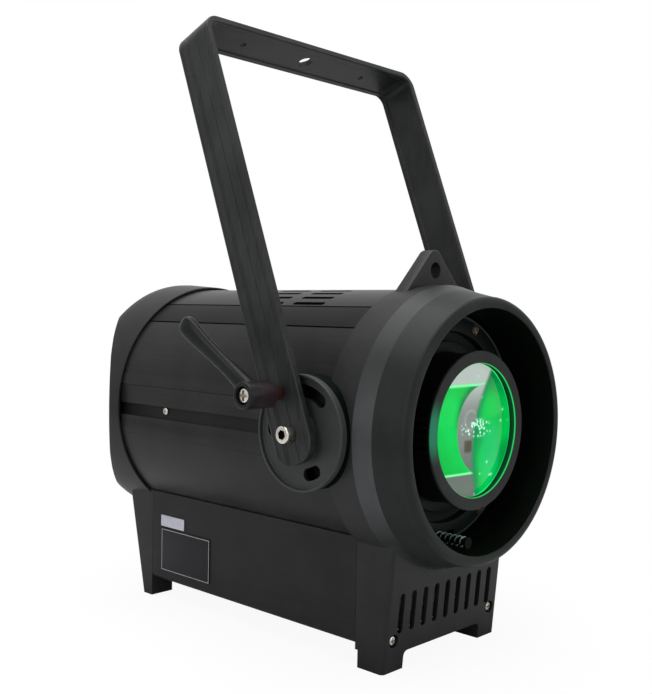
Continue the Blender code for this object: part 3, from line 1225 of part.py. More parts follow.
def button_places():
    return [(BUTTON_X + (i % 2) * BUTTON_STEP, AXIS_Z + DISPLAY_Z + (0.5 - i // 2) * BUTTON_STEP)
            for i in range(len(BUTTON_NAMES))]


def sockets(colours):
    names = ("power_inlet", "power_outlet", "data_inlet", "data_outlet")
    seat = PANEL_DEPTH + PANEL_THICK + GAP
    face = seat + SOCKET_FLANGE_THICK
    for index, (name, (x, z)) in enumerate(zip(names, socket_places())):
        half_x, half_z = SOCKET_FLANGE
        body = box(name, (x - half_x, depth(seat), z - half_z), (x + half_x, depth(face), z + half_z))
        bottom = face - SOCKET_RECESS
        fuse(body, turned("barrel", rod(SOCKET_BARREL, face - SOCKET_LENGTH, face - 0.001), "Y",
                          (x, FRONT, z), 16))
        cut(body, turned("recess", rod(SOCKET_BORE, bottom, face + 0.01), "Y", (x, FRONT, z), 16))
        if name == "data_inlet":
            pins = []
            for k in range(SOCKET_PINS):
                turn = radians(-30 + k * 240 / (SOCKET_PINS - 1))
                spot = (x + SOCKET_PIN_CIRCLE * cos(turn), FRONT, z + SOCKET_PIN_CIRCLE * sin(turn))
                pins.append(turned("pin", rod(SOCKET_PIN, bottom - 0.001, bottom + SOCKET_PIN_LENGTH), "Y",
                                   spot, 8))
            fuse(body, *pins)
        else:
            fuse(body, turned("core", rod(SOCKET_PIN_CIRCLE, bottom - 0.001, bottom + SOCKET_PIN_LENGTH), "Y",
                              (x, FRONT, z), 12))
        paint(body, colours[index])


def controls(window_colour, board_colour, button_colour):
    face = PANEL_DEPTH + PANEL_THICK
    half_x, half_z = DISPLAY_SIZE[0] / 2, DISPLAY_SIZE[1] / 2
    window = box("display_window", (DISPLAY_X - half_x, depth(face + GAP), AXIS_Z + DISPLAY_Z - half_z),
                 (DISPLAY_X + half_x, depth(face + GAP + WINDOW_THICK), AXIS_Z + DISPLAY_Z + half_z))
    paint(window, window_colour)
    board_back = PANEL_DEPTH - GAP
    front = board_back - BOARD_STANDOFF
    inside, switch_top = front + BOARD_SHEET / 2, front + BOARD_SHEET + SWITCH_HEIGHT
    middle = AXIS_Z + DISPLAY_Z
    low, high = middle - half_z - BOARD_MARGIN, middle + half_z + BOARD_MARGIN
    left, right = DISPLAY_X - half_x - BOARD_MARGIN, BUTTON_X + BUTTON_STEP + BOARD_REACH
    board = box("display_board", (left, depth(front), low), (right, depth(front + BOARD_SHEET), high))
    screen_x, screen_z = half_x - SCREEN_INSET, half_z - SCREEN_INSET
    pieces = [box("screen", (DISPLAY_X - screen_x, depth(inside), middle - screen_z),
                  (DISPLAY_X + screen_x, depth(board_back - BOARD_SHEET / 2), middle + screen_z))]
    for x in (left + SCREEN_INSET, right - SCREEN_INSET):
        for z in (low + SCREEN_INSET, high - SCREEN_INSET):
            pieces.append(turned("post", rod(BOARD_POST, inside, board_back), "Y", (x, FRONT, z), 8))
    for x, z in button_places():
        pieces.append(box("switch", (x - SWITCH_HALF, depth(inside), z - SWITCH_HALF),
                          (x + SWITCH_HALF, depth(switch_top), z + SWITCH_HALF)))
    fuse(board, *pieces)
    paint(board, board_colour)
    flange = board_back - BUTTON_FLANGE
    top, stem_end = face + BUTTON_RISE, switch_top + BUTTON_TRAVEL + GAP
    for name, (x, z) in zip(BUTTON_NAMES, button_places()):
        button = turned(name, [(0, top), (BUTTON_RADIUS - BUTTON_EDGE, top),
                               (BUTTON_RADIUS, top - BUTTON_EDGE), (BUTTON_RADIUS, board_back),
                               (BUTTON_RADIUS + BUTTON_FLANGE, board_back),
                               (BUTTON_RADIUS + BUTTON_FLANGE, flange), (BUTTON_STEM, flange),
                               (BUTTON_STEM, stem_end), (0, stem_end)], "Y", (x, FRONT, z), 12)
        paint(button, button_colour)


def main():
    clear_scene()
    black_paint = material("satin_black_paint", (0.030, 0.031, 0.032), 0.48, 0.2)
    body_paint = material("anodised_black", (0.034, 0.036, 0.037), 0.42, 0.4)
    yoke_paint = material("yoke_black", (0.028, 0.030, 0.030), 0.50, 0.3)
    plastic = material("black_plastic", (0.022, 0.022, 0.023), 0.45)
    ring_black = material("barrel_black", (0.045, 0.045, 0.047), 0.55, 0.2)
    steel = material("bright_steel", (0.62, 0.61, 0.58), 0.25, 1.0)
    brass = material("brass", (0.55, 0.42, 0.18), 0.30, 1.0)
    bare_aluminium = material("bare_aluminium", (0.55, 0.56, 0.57), 0.40, 1.0)
    mirror = material("mirror_finish", (0.85, 0.86, 0.86), 0.08, 1.0)
    glass = material("lens_glass", (0.85, 0.97, 0.90), 0.03, 0.0, 0.35)
    lit = material("emitter_green", (0.10, 0.85, 0.25), 0.40)
    board_green = material("board_green", (0.05, 0.17, 0.09), 0.55)
    white_board = material("board_white", (0.80, 0.80, 0.78), 0.50)
    plate_black = material("plate_black", (0.035, 0.035, 0.036), 0.40)
    foil = material("sticker_foil", (0.45, 0.44, 0.55), 0.30, 0.6)
    window = material("window_smoke", (0.05, 0.07, 0.10), 0.10)
    blue = material("socket_blue", (0.04, 0.10, 0.35), 0.40)
    grey = material("socket_grey", (0.42, 0.43, 0.44), 0.45)

    front_seat = front_bezel(black_paint)[1]
    rear_cover(black_paint)
    body_shell(body_paint)
    base_tray(black_paint)
    long_screws(front_seat, steel)
    guide_rods(steel)
    lens_carriage(black_paint)
    slide_bushes(brass)
    lead_nut(brass)
    lens_barrel(ring_black)
    main_lens(glass)
    lens_retainer(ring_black)
    lead_screw(steel)
    stop_spring(steel)
    zoom_motor(plastic)
    lamp_plate(bare_aluminium)
    side_screws(steel)
    lamp(white_board, lit, mirror)
    heatsink(bare_aluminium)
    fan(plastic, plastic, bare_aluminium)
    supply(bare_aluminium, board_green)
    plates(plate_black, foil)
    side_discs(black_paint)
    yoke(yoke_paint)
    pivot_set(steel, bare_aluminium)
    slider_nuts(steel)
    clamp_levers(steel, plastic, steel)
    rear_panel(black_paint)
    sockets((blue, grey, plastic, plastic))
    controls(window, board_green, plastic)


main()
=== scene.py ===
# Studio scene of an LED spotlight.
import bpy
import bmesh
import json
from math import asin, atan2, cos, degrees, hypot, pi, radians, sin, sqrt, tan
from mathutils import Matrix, Vector


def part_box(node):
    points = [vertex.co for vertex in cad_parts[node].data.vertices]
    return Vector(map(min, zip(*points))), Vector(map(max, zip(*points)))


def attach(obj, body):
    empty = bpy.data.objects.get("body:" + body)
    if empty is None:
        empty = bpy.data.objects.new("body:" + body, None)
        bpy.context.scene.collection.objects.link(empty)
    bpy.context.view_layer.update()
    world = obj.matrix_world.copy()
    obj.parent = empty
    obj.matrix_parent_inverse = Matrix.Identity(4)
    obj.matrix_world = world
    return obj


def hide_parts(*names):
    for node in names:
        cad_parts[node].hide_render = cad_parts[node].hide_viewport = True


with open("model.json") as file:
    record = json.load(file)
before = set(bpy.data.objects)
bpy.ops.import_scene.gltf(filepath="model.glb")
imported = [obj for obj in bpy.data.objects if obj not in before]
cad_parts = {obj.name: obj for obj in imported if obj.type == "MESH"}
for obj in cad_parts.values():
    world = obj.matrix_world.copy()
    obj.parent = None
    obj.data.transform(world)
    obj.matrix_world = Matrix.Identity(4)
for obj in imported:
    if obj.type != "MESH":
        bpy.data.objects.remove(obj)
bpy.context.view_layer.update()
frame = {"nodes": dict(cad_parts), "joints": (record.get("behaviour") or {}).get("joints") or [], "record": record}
nodes = frame["nodes"]
bodyOf = {node: body for body, members in frame["record"]["behaviour"]["bodies"].items() for node in members}
joints = {joint["name"]: joint for joint in frame["joints"]}
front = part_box("front_bezel")[0][1]
axisZ = 500 * (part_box("main_lens")[0][2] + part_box("main_lens")[1][2])
lensAt = (0, 0, axisZ)


def measured(point):
    return Vector((point[0] * 1000, (point[1] - front) * 1000, point[2] * 1000))


def nodeBox(name):
    low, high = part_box(name)
    return measured(low), measured(high)


pivot = measured(joints["yoke_tilt"]["pos_m"])
stud = measured(joints["lever_turn_left"]["pos_m"]) * Vector((0, 1, 1))
leadAt = measured(joints["lead_screw_spin"]["pos_m"])
yokeLean = degrees(atan2(stud.y - pivot.y, stud.z - pivot.z))
print("frame loaded: %d nodes" % len(nodes))


# Shader maths
class Wire:
    # One socket of a material's tree; the usual operators add Math nodes.
    def __init__(self, paint, socket):
        self.paint = paint
        self.socket = socket

    def maths(self, operation, first, second=0.0):
        node = self.paint.node("ShaderNodeMath", {"operation": operation}, {0: first, 1: second})
        return Wire(self.paint, node.outputs[0])

    def __add__(self, other):
        return self.maths("ADD", self, other)

    def __sub__(self, other):
        return self.maths("SUBTRACT", self, other)

    def __rsub__(self, other):
        return self.maths("SUBTRACT", other, self)

    def __mul__(self, other):
        return self.maths("MULTIPLY", self, other)

    def __pow__(self, other):
        return self.maths("POWER", self, other)

    def size(self):
        return self.maths("ABSOLUTE", self)

    def least(self, other):
        return self.maths("MINIMUM", self, other)

    def most(self, other):
        return self.maths("MAXIMUM", self, other)

    def fade(self, start, end):
        # 0 before start, 1 after end, smooth between; a falling fade has start above end.
        low, high = min(start, end), max(start, end)
        ends = {"Value": self, "From Min": low, "From Max": high, "To Min": float(start > end),
                "To Max": float(start < end)}
        node = self.paint.node("ShaderNodeMapRange", {"interpolation_type": "SMOOTHSTEP"}, ends)
        return Wire(self.paint, node.outputs[0])


class Paint:
    # A material whose tree is written with node() and whose shader is fed last.
    def __init__(self, name, **fixed):
        self.material = bpy.data.materials.new(name)
        self.material.use_nodes = True
        self.tree = self.material.node_tree
        self.shader = self.tree.nodes["Principled BSDF"]
        for socket, value in fixed.items():
            self.shader.inputs[socket.replace("_", " ")].default_value = value
        self.place = self.wire("ShaderNodeTexCoord", out="Object")

    def node(self, kind, settings=None, sockets=None):
        made = self.tree.nodes.new(kind)
        for key, value in (settings or {}).items():
            setattr(made, key, value)
        for key, value in (sockets or {}).items():
            if isinstance(value, Wire):
                self.tree.links.new(value.socket, made.inputs[key])
            else:
                made.inputs[key].default_value = value
        return made

    def wire(self, kind, settings=None, sockets=None, out=0):
        return Wire(self, self.node(kind, settings, sockets).outputs[out])

    def stretched(self, scale):
        return self.wire("ShaderNodeMapping", {}, {"Vector": self.place, "Scale": scale})

    def split(self):
        node = self.node("ShaderNodeSeparateXYZ", {}, {0: self.place})
        return [Wire(self, socket) for socket in node.outputs]

    def spot(self):
        # Millimetres to the side, behind the lip's face and above the lens axis.
        x, y, z = self.split()
        return x * 1000, y * 1000 - front * 1000, z * 1000 - axisZ

    def noise(self, scale, detail=2.0, rough=0.5, vector=None):
        return self.wire("ShaderNodeTexNoise", {}, {"Vector": vector or self.place, "Scale": scale,
                                                    "Detail": detail, "Roughness": rough})

    def mix(self, factor, first, second):
        node = self.node("ShaderNodeMix", {"data_type": "RGBA"}, {"Factor": factor})
        for socket, value in ((node.inputs[6], first), (node.inputs[7], second)):
            if isinstance(value, Wire):
                self.tree.links.new(value.socket, socket)
            else:
                socket.default_value = (*value[:3], 1.0)
        return Wire(self, node.outputs[2])

    def feed(self, bump=None, depth=0.0001, **sockets):
        for name, value in sockets.items():
            self.tree.links.new(value.socket, self.shader.inputs[name.replace("_", " ")])
        if bump:
            node = self.node("ShaderNodeBump", {}, {"Height": bump, "Distance": depth, "Strength": 1.0})
            self.tree.links.new(node.outputs[0], self.shader.inputs["Normal"])
        return self.material


def coated(name, colour, shade, rough=0.42, spread=0.10, grain=900, depth=0.00006, shine=0.22, streaks=None):
    # A painted or moulded surface: cloudy colour, uneven gloss and a fine grain.
    paint = Paint(name, Specular_IOR_Level=shine)
    clouds = paint.noise(28, 3, 0.6)
    fine = paint.noise(grain, 2, 0.6)
    lines = fine
    if streaks:
        lines = paint.noise(1.0, 2, 0.6, paint.stretched(streaks))
    colour = paint.mix((clouds * 0.6 + lines * 0.4).fade(0.35, 0.65), colour, shade)
    gloss = clouds * spread + lines * spread + (rough - spread)
    height = fine * 0.6 + lines * 0.4
    return paint.feed(height, depth, Base_Color=colour, Roughness=gloss)


def polished(name, colour, shade, rough=0.24, grain=1400, stretch=(1, 1, 1)):
    # Bare metal with fine tool marks.
    paint = Paint(name, Metallic=1.0)
    marks = paint.noise(grain, 2, 0.7, paint.stretched(stretch))
    clouds = paint.noise(60, 2, 0.5)
    colour = paint.mix(clouds.fade(0.3, 0.7), colour, shade)
    gloss = marks * 0.16 + clouds * 0.08 + (rough - 0.1)
    return paint.feed(marks, 0.00002, Base_Color=colour, Roughness=gloss)


def extrusionPaint():
    # The body's paint: a darker field between the two upper grooves, a soft band of painted shade above the flat
    # land, painted shadow in the channel, deepest by the rear casting, and fine lines of painted shade along the
    # land's edges.
    paint = Paint("extrusion paint", Specular_IOR_Level=0.095)
    side, along, height = paint.spot()
    fine = paint.noise(1.0, 2, 0.6, paint.stretched((700, 5, 700)))
    clouds = paint.noise(28, 3, 0.6)
    colour = paint.mix((clouds * 0.6 + fine * 0.4).fade(0.35, 0.65), (0.0105, 0.0112, 0.0108),
                       (0.0155, 0.0162, 0.0156))
    field = height.fade(74.6, 75.0) * height.fade(90.9, 90.5)
    # Painted shade: a soft darker band on the side, where the surface turns towards the flat land.
    soft = height.fade(27, 31) * height.fade(44, 33)
    channel = height.fade(-7.4, -6.9) * height.fade(3.8, 3.3)
    dim = (field * 0.45 + soft * 0.3).least(0.9)
    colour = paint.mix(dim, colour, (0.005, 0.0053, 0.005))
    # Painted shadow in the channel, deepening towards the rear casting's rim.
    colour = paint.mix(channel * (along.fade(262, 312) * 0.55 + 0.45), colour, (0.0006, 0.0006, 0.0008))
    # Painted shade: thin dark lines along the land's upper and lower edges.
    lines = (height - 19.6).size().fade(0.55, 0.25).most((height + 23.0).size().fade(0.5, 0.2) * 0.6)
    colour = paint.mix(lines, colour, (0.0008, 0.0008, 0.001))
    gloss = fine * 0.09 + clouds * 0.08 + 0.27 + field * 0.14 + channel * 0.25
    bump = paint.noise(900, 2, 0.6) * 0.6 + fine * 0.4
    return paint.feed(bump, 0.00006, Base_Color=colour, Roughness=gloss)


def barrelPaint():
    # Grey on the front ring, with near-black painted shade on the tube behind it and on the wall of the
    # opening; that wall and the left of the ring's face beside it glow with painted green light, given as
    # emission.
    paint = Paint("barrel paint", Specular_IOR_Level=0.09)
    paint.shader.inputs["Emission Strength"].default_value = 1.0
    side, depth, height = paint.spot()
    behind = depth.fade(11.6, 12.6)
    out = (side ** 2 + height ** 2) ** 0.5
    wall = out.fade(50.7, 50.4) * depth.fade(16, 14)
    lit = paint.mix(depth.fade(11.9, 11.2), (0.0, 0.045, 0.012), (0.02, 0.62, 0.13))
    lit = paint.mix(wall, (0.0, 0.0, 0.0), lit)
    # A painted green glow on the left of the ring's face.
    greenGlow = side.fade(-44, -54) * (height - 3).size().fade(26, 6) * depth.fade(11.2, 10.8)
    lit = paint.mix(greenGlow, lit, (0.0, 0.16, 0.075))
    clouds = paint.noise(40, 3, 0.6)
    fine = paint.noise(900, 2, 0.6)
    colour = paint.mix(clouds.fade(0.3, 0.7), (0.0150, 0.0160, 0.0158), (0.0205, 0.0215, 0.0212))
    # Painted shade: near black on the tube behind the ring and on the opening's wall.
    colour = paint.mix(behind.most(wall), colour, (0.001, 0.002, 0.0015))
    gloss = fine * 0.1 + clouds * 0.1 + behind * 0.4 + 0.38
    return paint.feed(fine, 0.00005, Base_Color=colour, Roughness=gloss, Emission_Color=lit)


def bandPaint():
    # The ring's cone: lighter with painted light from a little above the axis down its sides, fading to as dark as
    # the rest at the top and at the bottom.
    paint = Paint("casting paint, worn band", Specular_IOR_Level=0.14)
    side, depth, height = paint.spot()
    clouds = paint.noise(28, 3, 0.6)
    fine = paint.noise(900, 2, 0.6)
    colour = paint.mix(clouds.fade(0.35, 0.65), (0.034, 0.0372, 0.0385), (0.043, 0.0466, 0.0480))
    colour = paint.mix(height.fade(8, 78), colour, (0.013, 0.014, 0.014))
    colour = paint.mix(height.fade(-45, -85), colour, (0.014, 0.015, 0.015))
    return paint.feed(fine, 0.00006, Base_Color=colour, Roughness=clouds * 0.1 + fine * 0.1 + 0.3)


def leverPaint():
    # Black plastic with a painted reddish highlight on the hub's inner half.
    paint = Paint("lever plastic", Specular_IOR_Level=0.13)
    x, y, z = paint.split()
    fine = paint.noise(1500, 2, 0.6)
    clouds = paint.noise(28, 3, 0.6)
    colour = paint.mix(clouds.fade(0.3, 0.7), (0.0055, 0.006, 0.006), (0.009, 0.0095, 0.0095))
    inner = (x * 1000).size().fade(155, 151) * (z * 1000 - stud.z).size().fade(11, 7)
    colour = paint.mix(inner * 0.5, colour, (0.030, 0.015, 0.018))
    return paint.feed(fine, 0.00005, Base_Color=colour, Roughness=clouds * 0.1 + fine * 0.08 + 0.26)


def carriagePaint():
    # Greenish black, with a painted bright highlight line round the outer edge.
    paint = Paint("carriage paint", Specular_IOR_Level=0.10)
    side, depth, height = paint.spot()
    out = (side ** 2 + height ** 2) ** 0.5
    clouds = paint.noise(30, 3, 0.6)
    colour = paint.mix(clouds.fade(0.3, 0.7), (0.0035, 0.0062, 0.0052), (0.007, 0.011, 0.0095))
    colour = paint.mix((out - 86.0).size().fade(0.9, 0.4), colour, (0.05, 0.075, 0.065))
    gloss = paint.noise(40, 2) * 0.1 + 0.36
    return paint.feed(paint.noise(900, 2, 0.6), 0.00005, Base_Color=colour, Roughness=gloss)


paints = {
    "casting": coated("casting paint", (0.012, 0.0128, 0.0122), (0.018, 0.0188, 0.0182), 0.40, shine=0.12),
    "band": bandPaint(),
    # A darker, less glossy copy of the casting paint: painted shade on the lip's outside and face.
    "neck": coated("casting paint, matt lip", (0.0105, 0.0122, 0.0117), (0.0150, 0.0170, 0.0163), 0.42,
                   shine=0.085),
    "disc": coated("disc paint", (0.023, 0.0255, 0.0255), (0.030, 0.033, 0.033), 0.38, shine=0.20),
    # Near black and faintly green, as painted shade: inside the hood, on the side discs' walls and on the lead
    # screw.
    "hood": coated("hood inside", (0.0006, 0.0016, 0.0008), (0.001, 0.0026, 0.0014), 0.5, shine=0.03),
    "extrusion": extrusionPaint(),
    "field": coated("extrusion paint, darker field", (0.008, 0.0084, 0.008), (0.012, 0.0125, 0.012), 0.42,
                    shine=0.05, streaks=(700, 5, 700)),
    "base": coated("base paint", (0.011, 0.0114, 0.0108), (0.015, 0.0156, 0.0148), 0.44, shine=0.10,
                   streaks=(500, 6, 500)),
    "yoke": coated("yoke paint", (0.010, 0.0108, 0.0106), (0.021, 0.0222, 0.0218), 0.38, 0.14, shine=0.15,
                   streaks=(60, 900, 20)),
    "carriage": carriagePaint(),
    "barrel": barrelPaint(),
    "lever": leverPaint(),
    "collar": coated("collar", (0.026, 0.010, 0.009), (0.036, 0.014, 0.013), 0.35, 0.08, 1500, 0.00005, 0.2),
    "blackPlastic": coated("black plastic", (0.012, 0.012, 0.013), (0.019, 0.019, 0.020), 0.45, 0.08, 1800),
    "blue": coated("blue plastic", (0.02, 0.07, 0.30), (0.03, 0.09, 0.36), 0.4, 0.06, 1800, shine=0.4),
    "grey": coated("grey plastic", (0.38, 0.39, 0.40), (0.45, 0.46, 0.47), 0.45, 0.06, 1800, shine=0.4),
    "rubber": coated("rubber", (0.006, 0.006, 0.006), (0.010, 0.010, 0.010), 0.7, 0.08, 2400, 0.0001, 0.15),
    "steel": polished("bright steel", (0.50, 0.47, 0.42), (0.62, 0.60, 0.55)),
    "blackSteel": polished("blackened steel", (0.030, 0.034, 0.032), (0.055, 0.060, 0.058), 0.35),
    "springSteel": polished("spring steel", (0.085, 0.13, 0.115), (0.15, 0.20, 0.18), 0.3),
    "brass": polished("turned brass", (0.55, 0.41, 0.17), (0.65, 0.50, 0.24)),
    "aluminium": polished("bare aluminium", (0.50, 0.51, 0.52), (0.62, 0.63, 0.64), 0.38, 900, (1, 0.05, 1)),
    "mirror": polished("mirror", (0.82, 0.83, 0.83), (0.90, 0.90, 0.90), 0.14),
    "circuitGreen": coated("circuit green", (0.02, 0.10, 0.045), (0.03, 0.14, 0.06), 0.35, 0.08, 1500,
                           shine=0.4),
    "whiteBoard": coated("white board", (0.72, 0.72, 0.70), (0.80, 0.80, 0.78), 0.4, 0.08, 1500, shine=0.4),
    "emitter": coated("emitter", (0.10, 0.75, 0.22), (0.16, 0.90, 0.30), 0.35, 0.08, 3000, shine=0.4),
}


# Mesh helpers, all in measured millimetres
def linked(name, data):
    made = bpy.data.objects.new(name, data)
    bpy.context.collection.objects.link(made)
    return made


def meshOf(name, bm, sharp=None):
    mesh = bpy.data.meshes.new(name)
    bm.to_mesh(mesh)
    bm.free()
    if sharp:
        mesh.shade_smooth()
        mesh.set_sharp_from_angle(angle=radians(sharp))
    return mesh


def finish(name, bm, sharp=32, place=None):
    if place:
        bmesh.ops.transform(bm, matrix=place, verts=bm.verts)
    metres = Matrix.Translation((0, front, 0)) @ Matrix.Scale(0.001, 4)
    bmesh.ops.transform(bm, matrix=metres, verts=bm.verts)
    bmesh.ops.recalc_face_normals(bm, faces=bm.faces)
    return linked(name, meshOf(name, bm, sharp))


def plain(item, name, sharp=32):
    # The evaluated shape of an object as a mesh of its own, without modifiers.
    graph = bpy.context.evaluated_depsgraph_get()
    mesh = bpy.data.meshes.new_from_object(item.evaluated_get(graph))
    bpy.data.objects.remove(item, do_unlink=True)
    made = linked(name, mesh)
    mesh.shade_smooth()
    mesh.set_sharp_from_angle(angle=radians(sharp))
    return made


def combine(target, tools, operation, sharp=32):
    name = target.name
    for tool in tools:
        step = target.modifiers.new("step", "BOOLEAN")
        step.operation = operation
        step.solver = "EXACT"
        step.object = tool
    made = plain(target, name, sharp)
    for tool in tools:
        bpy.data.objects.remove(tool, do_unlink=True)
    made.name = name
    return made


def cut(target, *tools, sharp=32):
    return combine(target, tools, "DIFFERENCE", sharp)


def cutEach(target, tools, sharp=32):
    # One tool after another, each on the result of the last.
    for tool in tools:
        target = cut(target, tool, sharp=sharp)
    return target


def joined(name, *items, sharp=32):
    # Several closed shells in one object.
    bm = bmesh.new()
    for item in items:
        bm.from_mesh(item.data)
        bpy.data.objects.remove(item, do_unlink=True)
    return linked(name, meshOf(name, bm, sharp))


def mirrored(name, item):
    bm = bmesh.new()
    bm.from_mesh(item.data)
    bmesh.ops.transform(bm, matrix=Matrix.Scale(-1, 4, (1, 0, 0)), verts=bm.verts)
    bmesh.ops.reverse_faces(bm, faces=bm.faces)
    return linked(name, meshOf(name, bm))


def around(radius, angles, middle=(0, 0)):
    # Points of an arc, at angles in degrees.
    return [(middle[0] + radius * cos(radians(a)), middle[1] + radius * sin(radians(a))) for a in angles]


def upright(wide, low, high):
    # The outline of a slot with round ends.
    r = wide / 2
    return around(r, range(0, 181, 20), (0, high - r)) + around(r, range(180, 361, 20), (0, low + r))


def box(left, low, right, high):
    return [(left, low), (right, low), (right, high), (left, high)]


def rounded(points, radius, steps=4, closed=True):
    # Corners of a flat outline turned into arcs; radius is one value, or one for each corner.
    radii = radius if isinstance(radius, (list, tuple)) else [radius] * len(points)
    made = []
    for i, (corner, size) in enumerate(zip(points, radii)):
        here = Vector(corner)
        if size == 0 or (not closed and i in (0, len(points) - 1)):
            made.append(here)
            continue
        back = Vector(points[i - 1]) - here
        ahead = Vector(points[(i + 1) % len(points)]) - here
        half = back.angle(ahead) / 2
        if half > radians(89.5):
            made.append(here)
            continue
        reach = min(size / tan(half), 0.48 * back.length, 0.48 * ahead.length)
        size = reach * tan(half)
        middle = here + (back.normalized() + ahead.normalized()).normalized() * (size / sin(half))
        start = here + back.normalized() * reach - middle
        end = here + ahead.normalized() * reach - middle
        turn = atan2(start.x * end.y - start.y * end.x, start.dot(end))
        for k in range(steps + 1):
            c, s = cos(turn * k / steps), sin(turn * k / steps)
            made.append(middle + Vector((start.x * c - start.y * s, start.x * s + start.y * c)))
    return made


def onAxis(axis, radius, along, turn):
    across, up = radius * cos(turn), radius * sin(turn)
    return {"X": Vector((along, across, up)), "Y": Vector((across, along, up)),
            "Z": Vector((across, up, along))}[axis]


def turned(name, profile, axis="Y", centre=(0, 0, 0), steps=96, sharp=32, place=None):
    # The profile is a list of (radius, distance along the axis); it closes on itself or on the axis.
    bm = bmesh.new()
    rings = []
    for radius, along in profile:
        count = steps if radius > 1e-6 else 1
        rings.append([bm.verts.new(Vector(centre) + onAxis(axis, radius, along, 2 * pi * i / steps))
                      for i in range(count)])
    pairs = list(zip(rings, rings[1:]))
    if len(rings[0]) > 1 and len(rings[-1]) > 1:
        pairs.append((rings[-1], rings[0]))
    for one, two in pairs:
        for i in range(steps):
            j = (i + 1) % steps
            corners = []
            for ring, k in ((one, i), (one, j), (two, j), (two, i)):
                vertex = ring[k % len(ring)]
                if vertex not in corners:
                    corners.append(vertex)
            if len(corners) > 2:
                bm.faces.new(corners)
    return finish(name, bm, sharp, place)


def leftward(profile):
    # Distances from the middle plane become places on the lamp's left side.
    return [(radius, -along) for radius, along in profile]


def rod(radius, start, end, edge=0.0):
    if edge == 0:
        return [(0, start), (radius, start), (radius, end), (0, end)]
    return [(0, start), (radius - edge, start), (radius, start + edge), (radius, end - edge),
            (radius - edge, end), (0, end)]


def bridge(bm, rings):
    # Quads between rings of the same number of vertices.
    count = len(rings[0])
    for one, two in zip(rings, rings[1:]):
        for i in range(count):
            j = (i + 1) % count
            bm.faces.new((one[i], one[j], two[j], two[i]))


def prism(name, outline, axis, low, high, centre=(0, 0, 0), edge=0.0, sharp=32, place=None):
    # The outline lies square to the axis; edge rounds the rims of both ends.
    put = {"X": lambda p, a: (a, p[0], p[1]), "Y": lambda p, a: (p[0], a, p[1]),
           "Z": lambda p, a: (p[0], p[1], a)}[axis]
    bm = bmesh.new()
    face = bm.faces.new([bm.verts.new(Vector(centre) + Vector(put(p, low))) for p in outline])
    grown = bmesh.ops.extrude_face_region(bm, geom=[face])["geom"]
    moved = [g for g in grown if isinstance(g, bmesh.types.BMVert)]
    bmesh.ops.translate(bm, vec=Vector(put((0, 0), high - low)), verts=moved)
    if edge:
        caps = [f for f in bm.faces if len(f.verts) == len(outline)]
        rims = list({e for f in caps for e in f.edges})
        bmesh.ops.bevel(bm, geom=rims, offset=edge, segments=3, profile=0.5, affect="EDGES",
                        clamp_overlap=True)
    return finish(name, bm, sharp, place)


def block(name, low, high, edge=0.0):
    outline = rounded(box(low[0], low[2], high[0], high[2]), edge, 3)
    return prism(name, outline, "Y", low[1], high[1], edge=edge)


# Geometry nodes: one tree that repeats a piece in rows and rings, one that winds a coil
def makeTree(name, inputs):
    tree = bpy.data.node_groups.new(name, "GeometryNodeTree")
    tree.interface.new_socket("Geometry", in_out="OUTPUT", socket_type="NodeSocketGeometry")
    tree.interface.new_socket("Geometry", in_out="INPUT", socket_type="NodeSocketGeometry")
    for label, kind in inputs:
        tree.interface.new_socket(label, in_out="INPUT", socket_type="NodeSocket" + kind)
    return tree


def addNode(tree, kind, settings=None, sockets=None):
    made = tree.nodes.new(kind)
    for key, value in (settings or {}).items():
        setattr(made, key, value)
    for key, value in (sockets or {}).items():
        if isinstance(value, bpy.types.NodeSocket):
            tree.links.new(value, made.inputs[key])
        else:
            made.inputs[key].default_value = value
    return made


def closeTree(tree, shape, material):
    real = addNode(tree, "GeometryNodeRealizeInstances", {}, {0: shape.outputs[0]})
    done = addNode(tree, "GeometryNodeSetMaterial", {}, {0: real.outputs[0], "Material": material})
    tree.links.new(done.outputs[0], tree.nodes.new("NodeGroupOutput").inputs[0])
    return tree


def repeatTree():
    tree = makeTree("repeat", (("Piece", "Object"), ("Count", "Int"), ("Start", "Vector"), ("Step", "Vector"),
                               ("Turn", "Float"), ("Turn Step", "Float"), ("Material", "Material")))
    given = tree.nodes.new("NodeGroupInput").outputs
    index = addNode(tree, "GeometryNodeInputIndex").outputs[0]
    way = addNode(tree, "ShaderNodeVectorMath", {"operation": "SCALE"}, {0: given["Step"], "Scale": index})
    spot = addNode(tree, "ShaderNodeVectorMath", {"operation": "ADD"}, {0: given["Start"], 1: way.outputs[0]})
    angle = addNode(tree, "ShaderNodeMath", {"operation": "MULTIPLY_ADD"},
                    {0: given["Turn Step"], 1: index, 2: given["Turn"]})
    swung = addNode(tree, "ShaderNodeVectorRotate", {"rotation_type": "Y_AXIS"},
                    {"Vector": spot.outputs[0], "Angle": angle.outputs[0]})
    facing = addNode(tree, "ShaderNodeCombineXYZ", {}, {"Y": angle.outputs[0]})
    points = addNode(tree, "GeometryNodePoints", {}, {"Count": given["Count"], "Position": swung.outputs[0]})
    piece = addNode(tree, "GeometryNodeObjectInfo", {}, {"Object": given["Piece"]})
    copies = addNode(tree, "GeometryNodeInstanceOnPoints", {},
                     {"Points": points.outputs[0], "Instance": piece.outputs["Geometry"],
                      "Rotation": facing.outputs[0]})
    return closeTree(tree, copies, given["Material"])


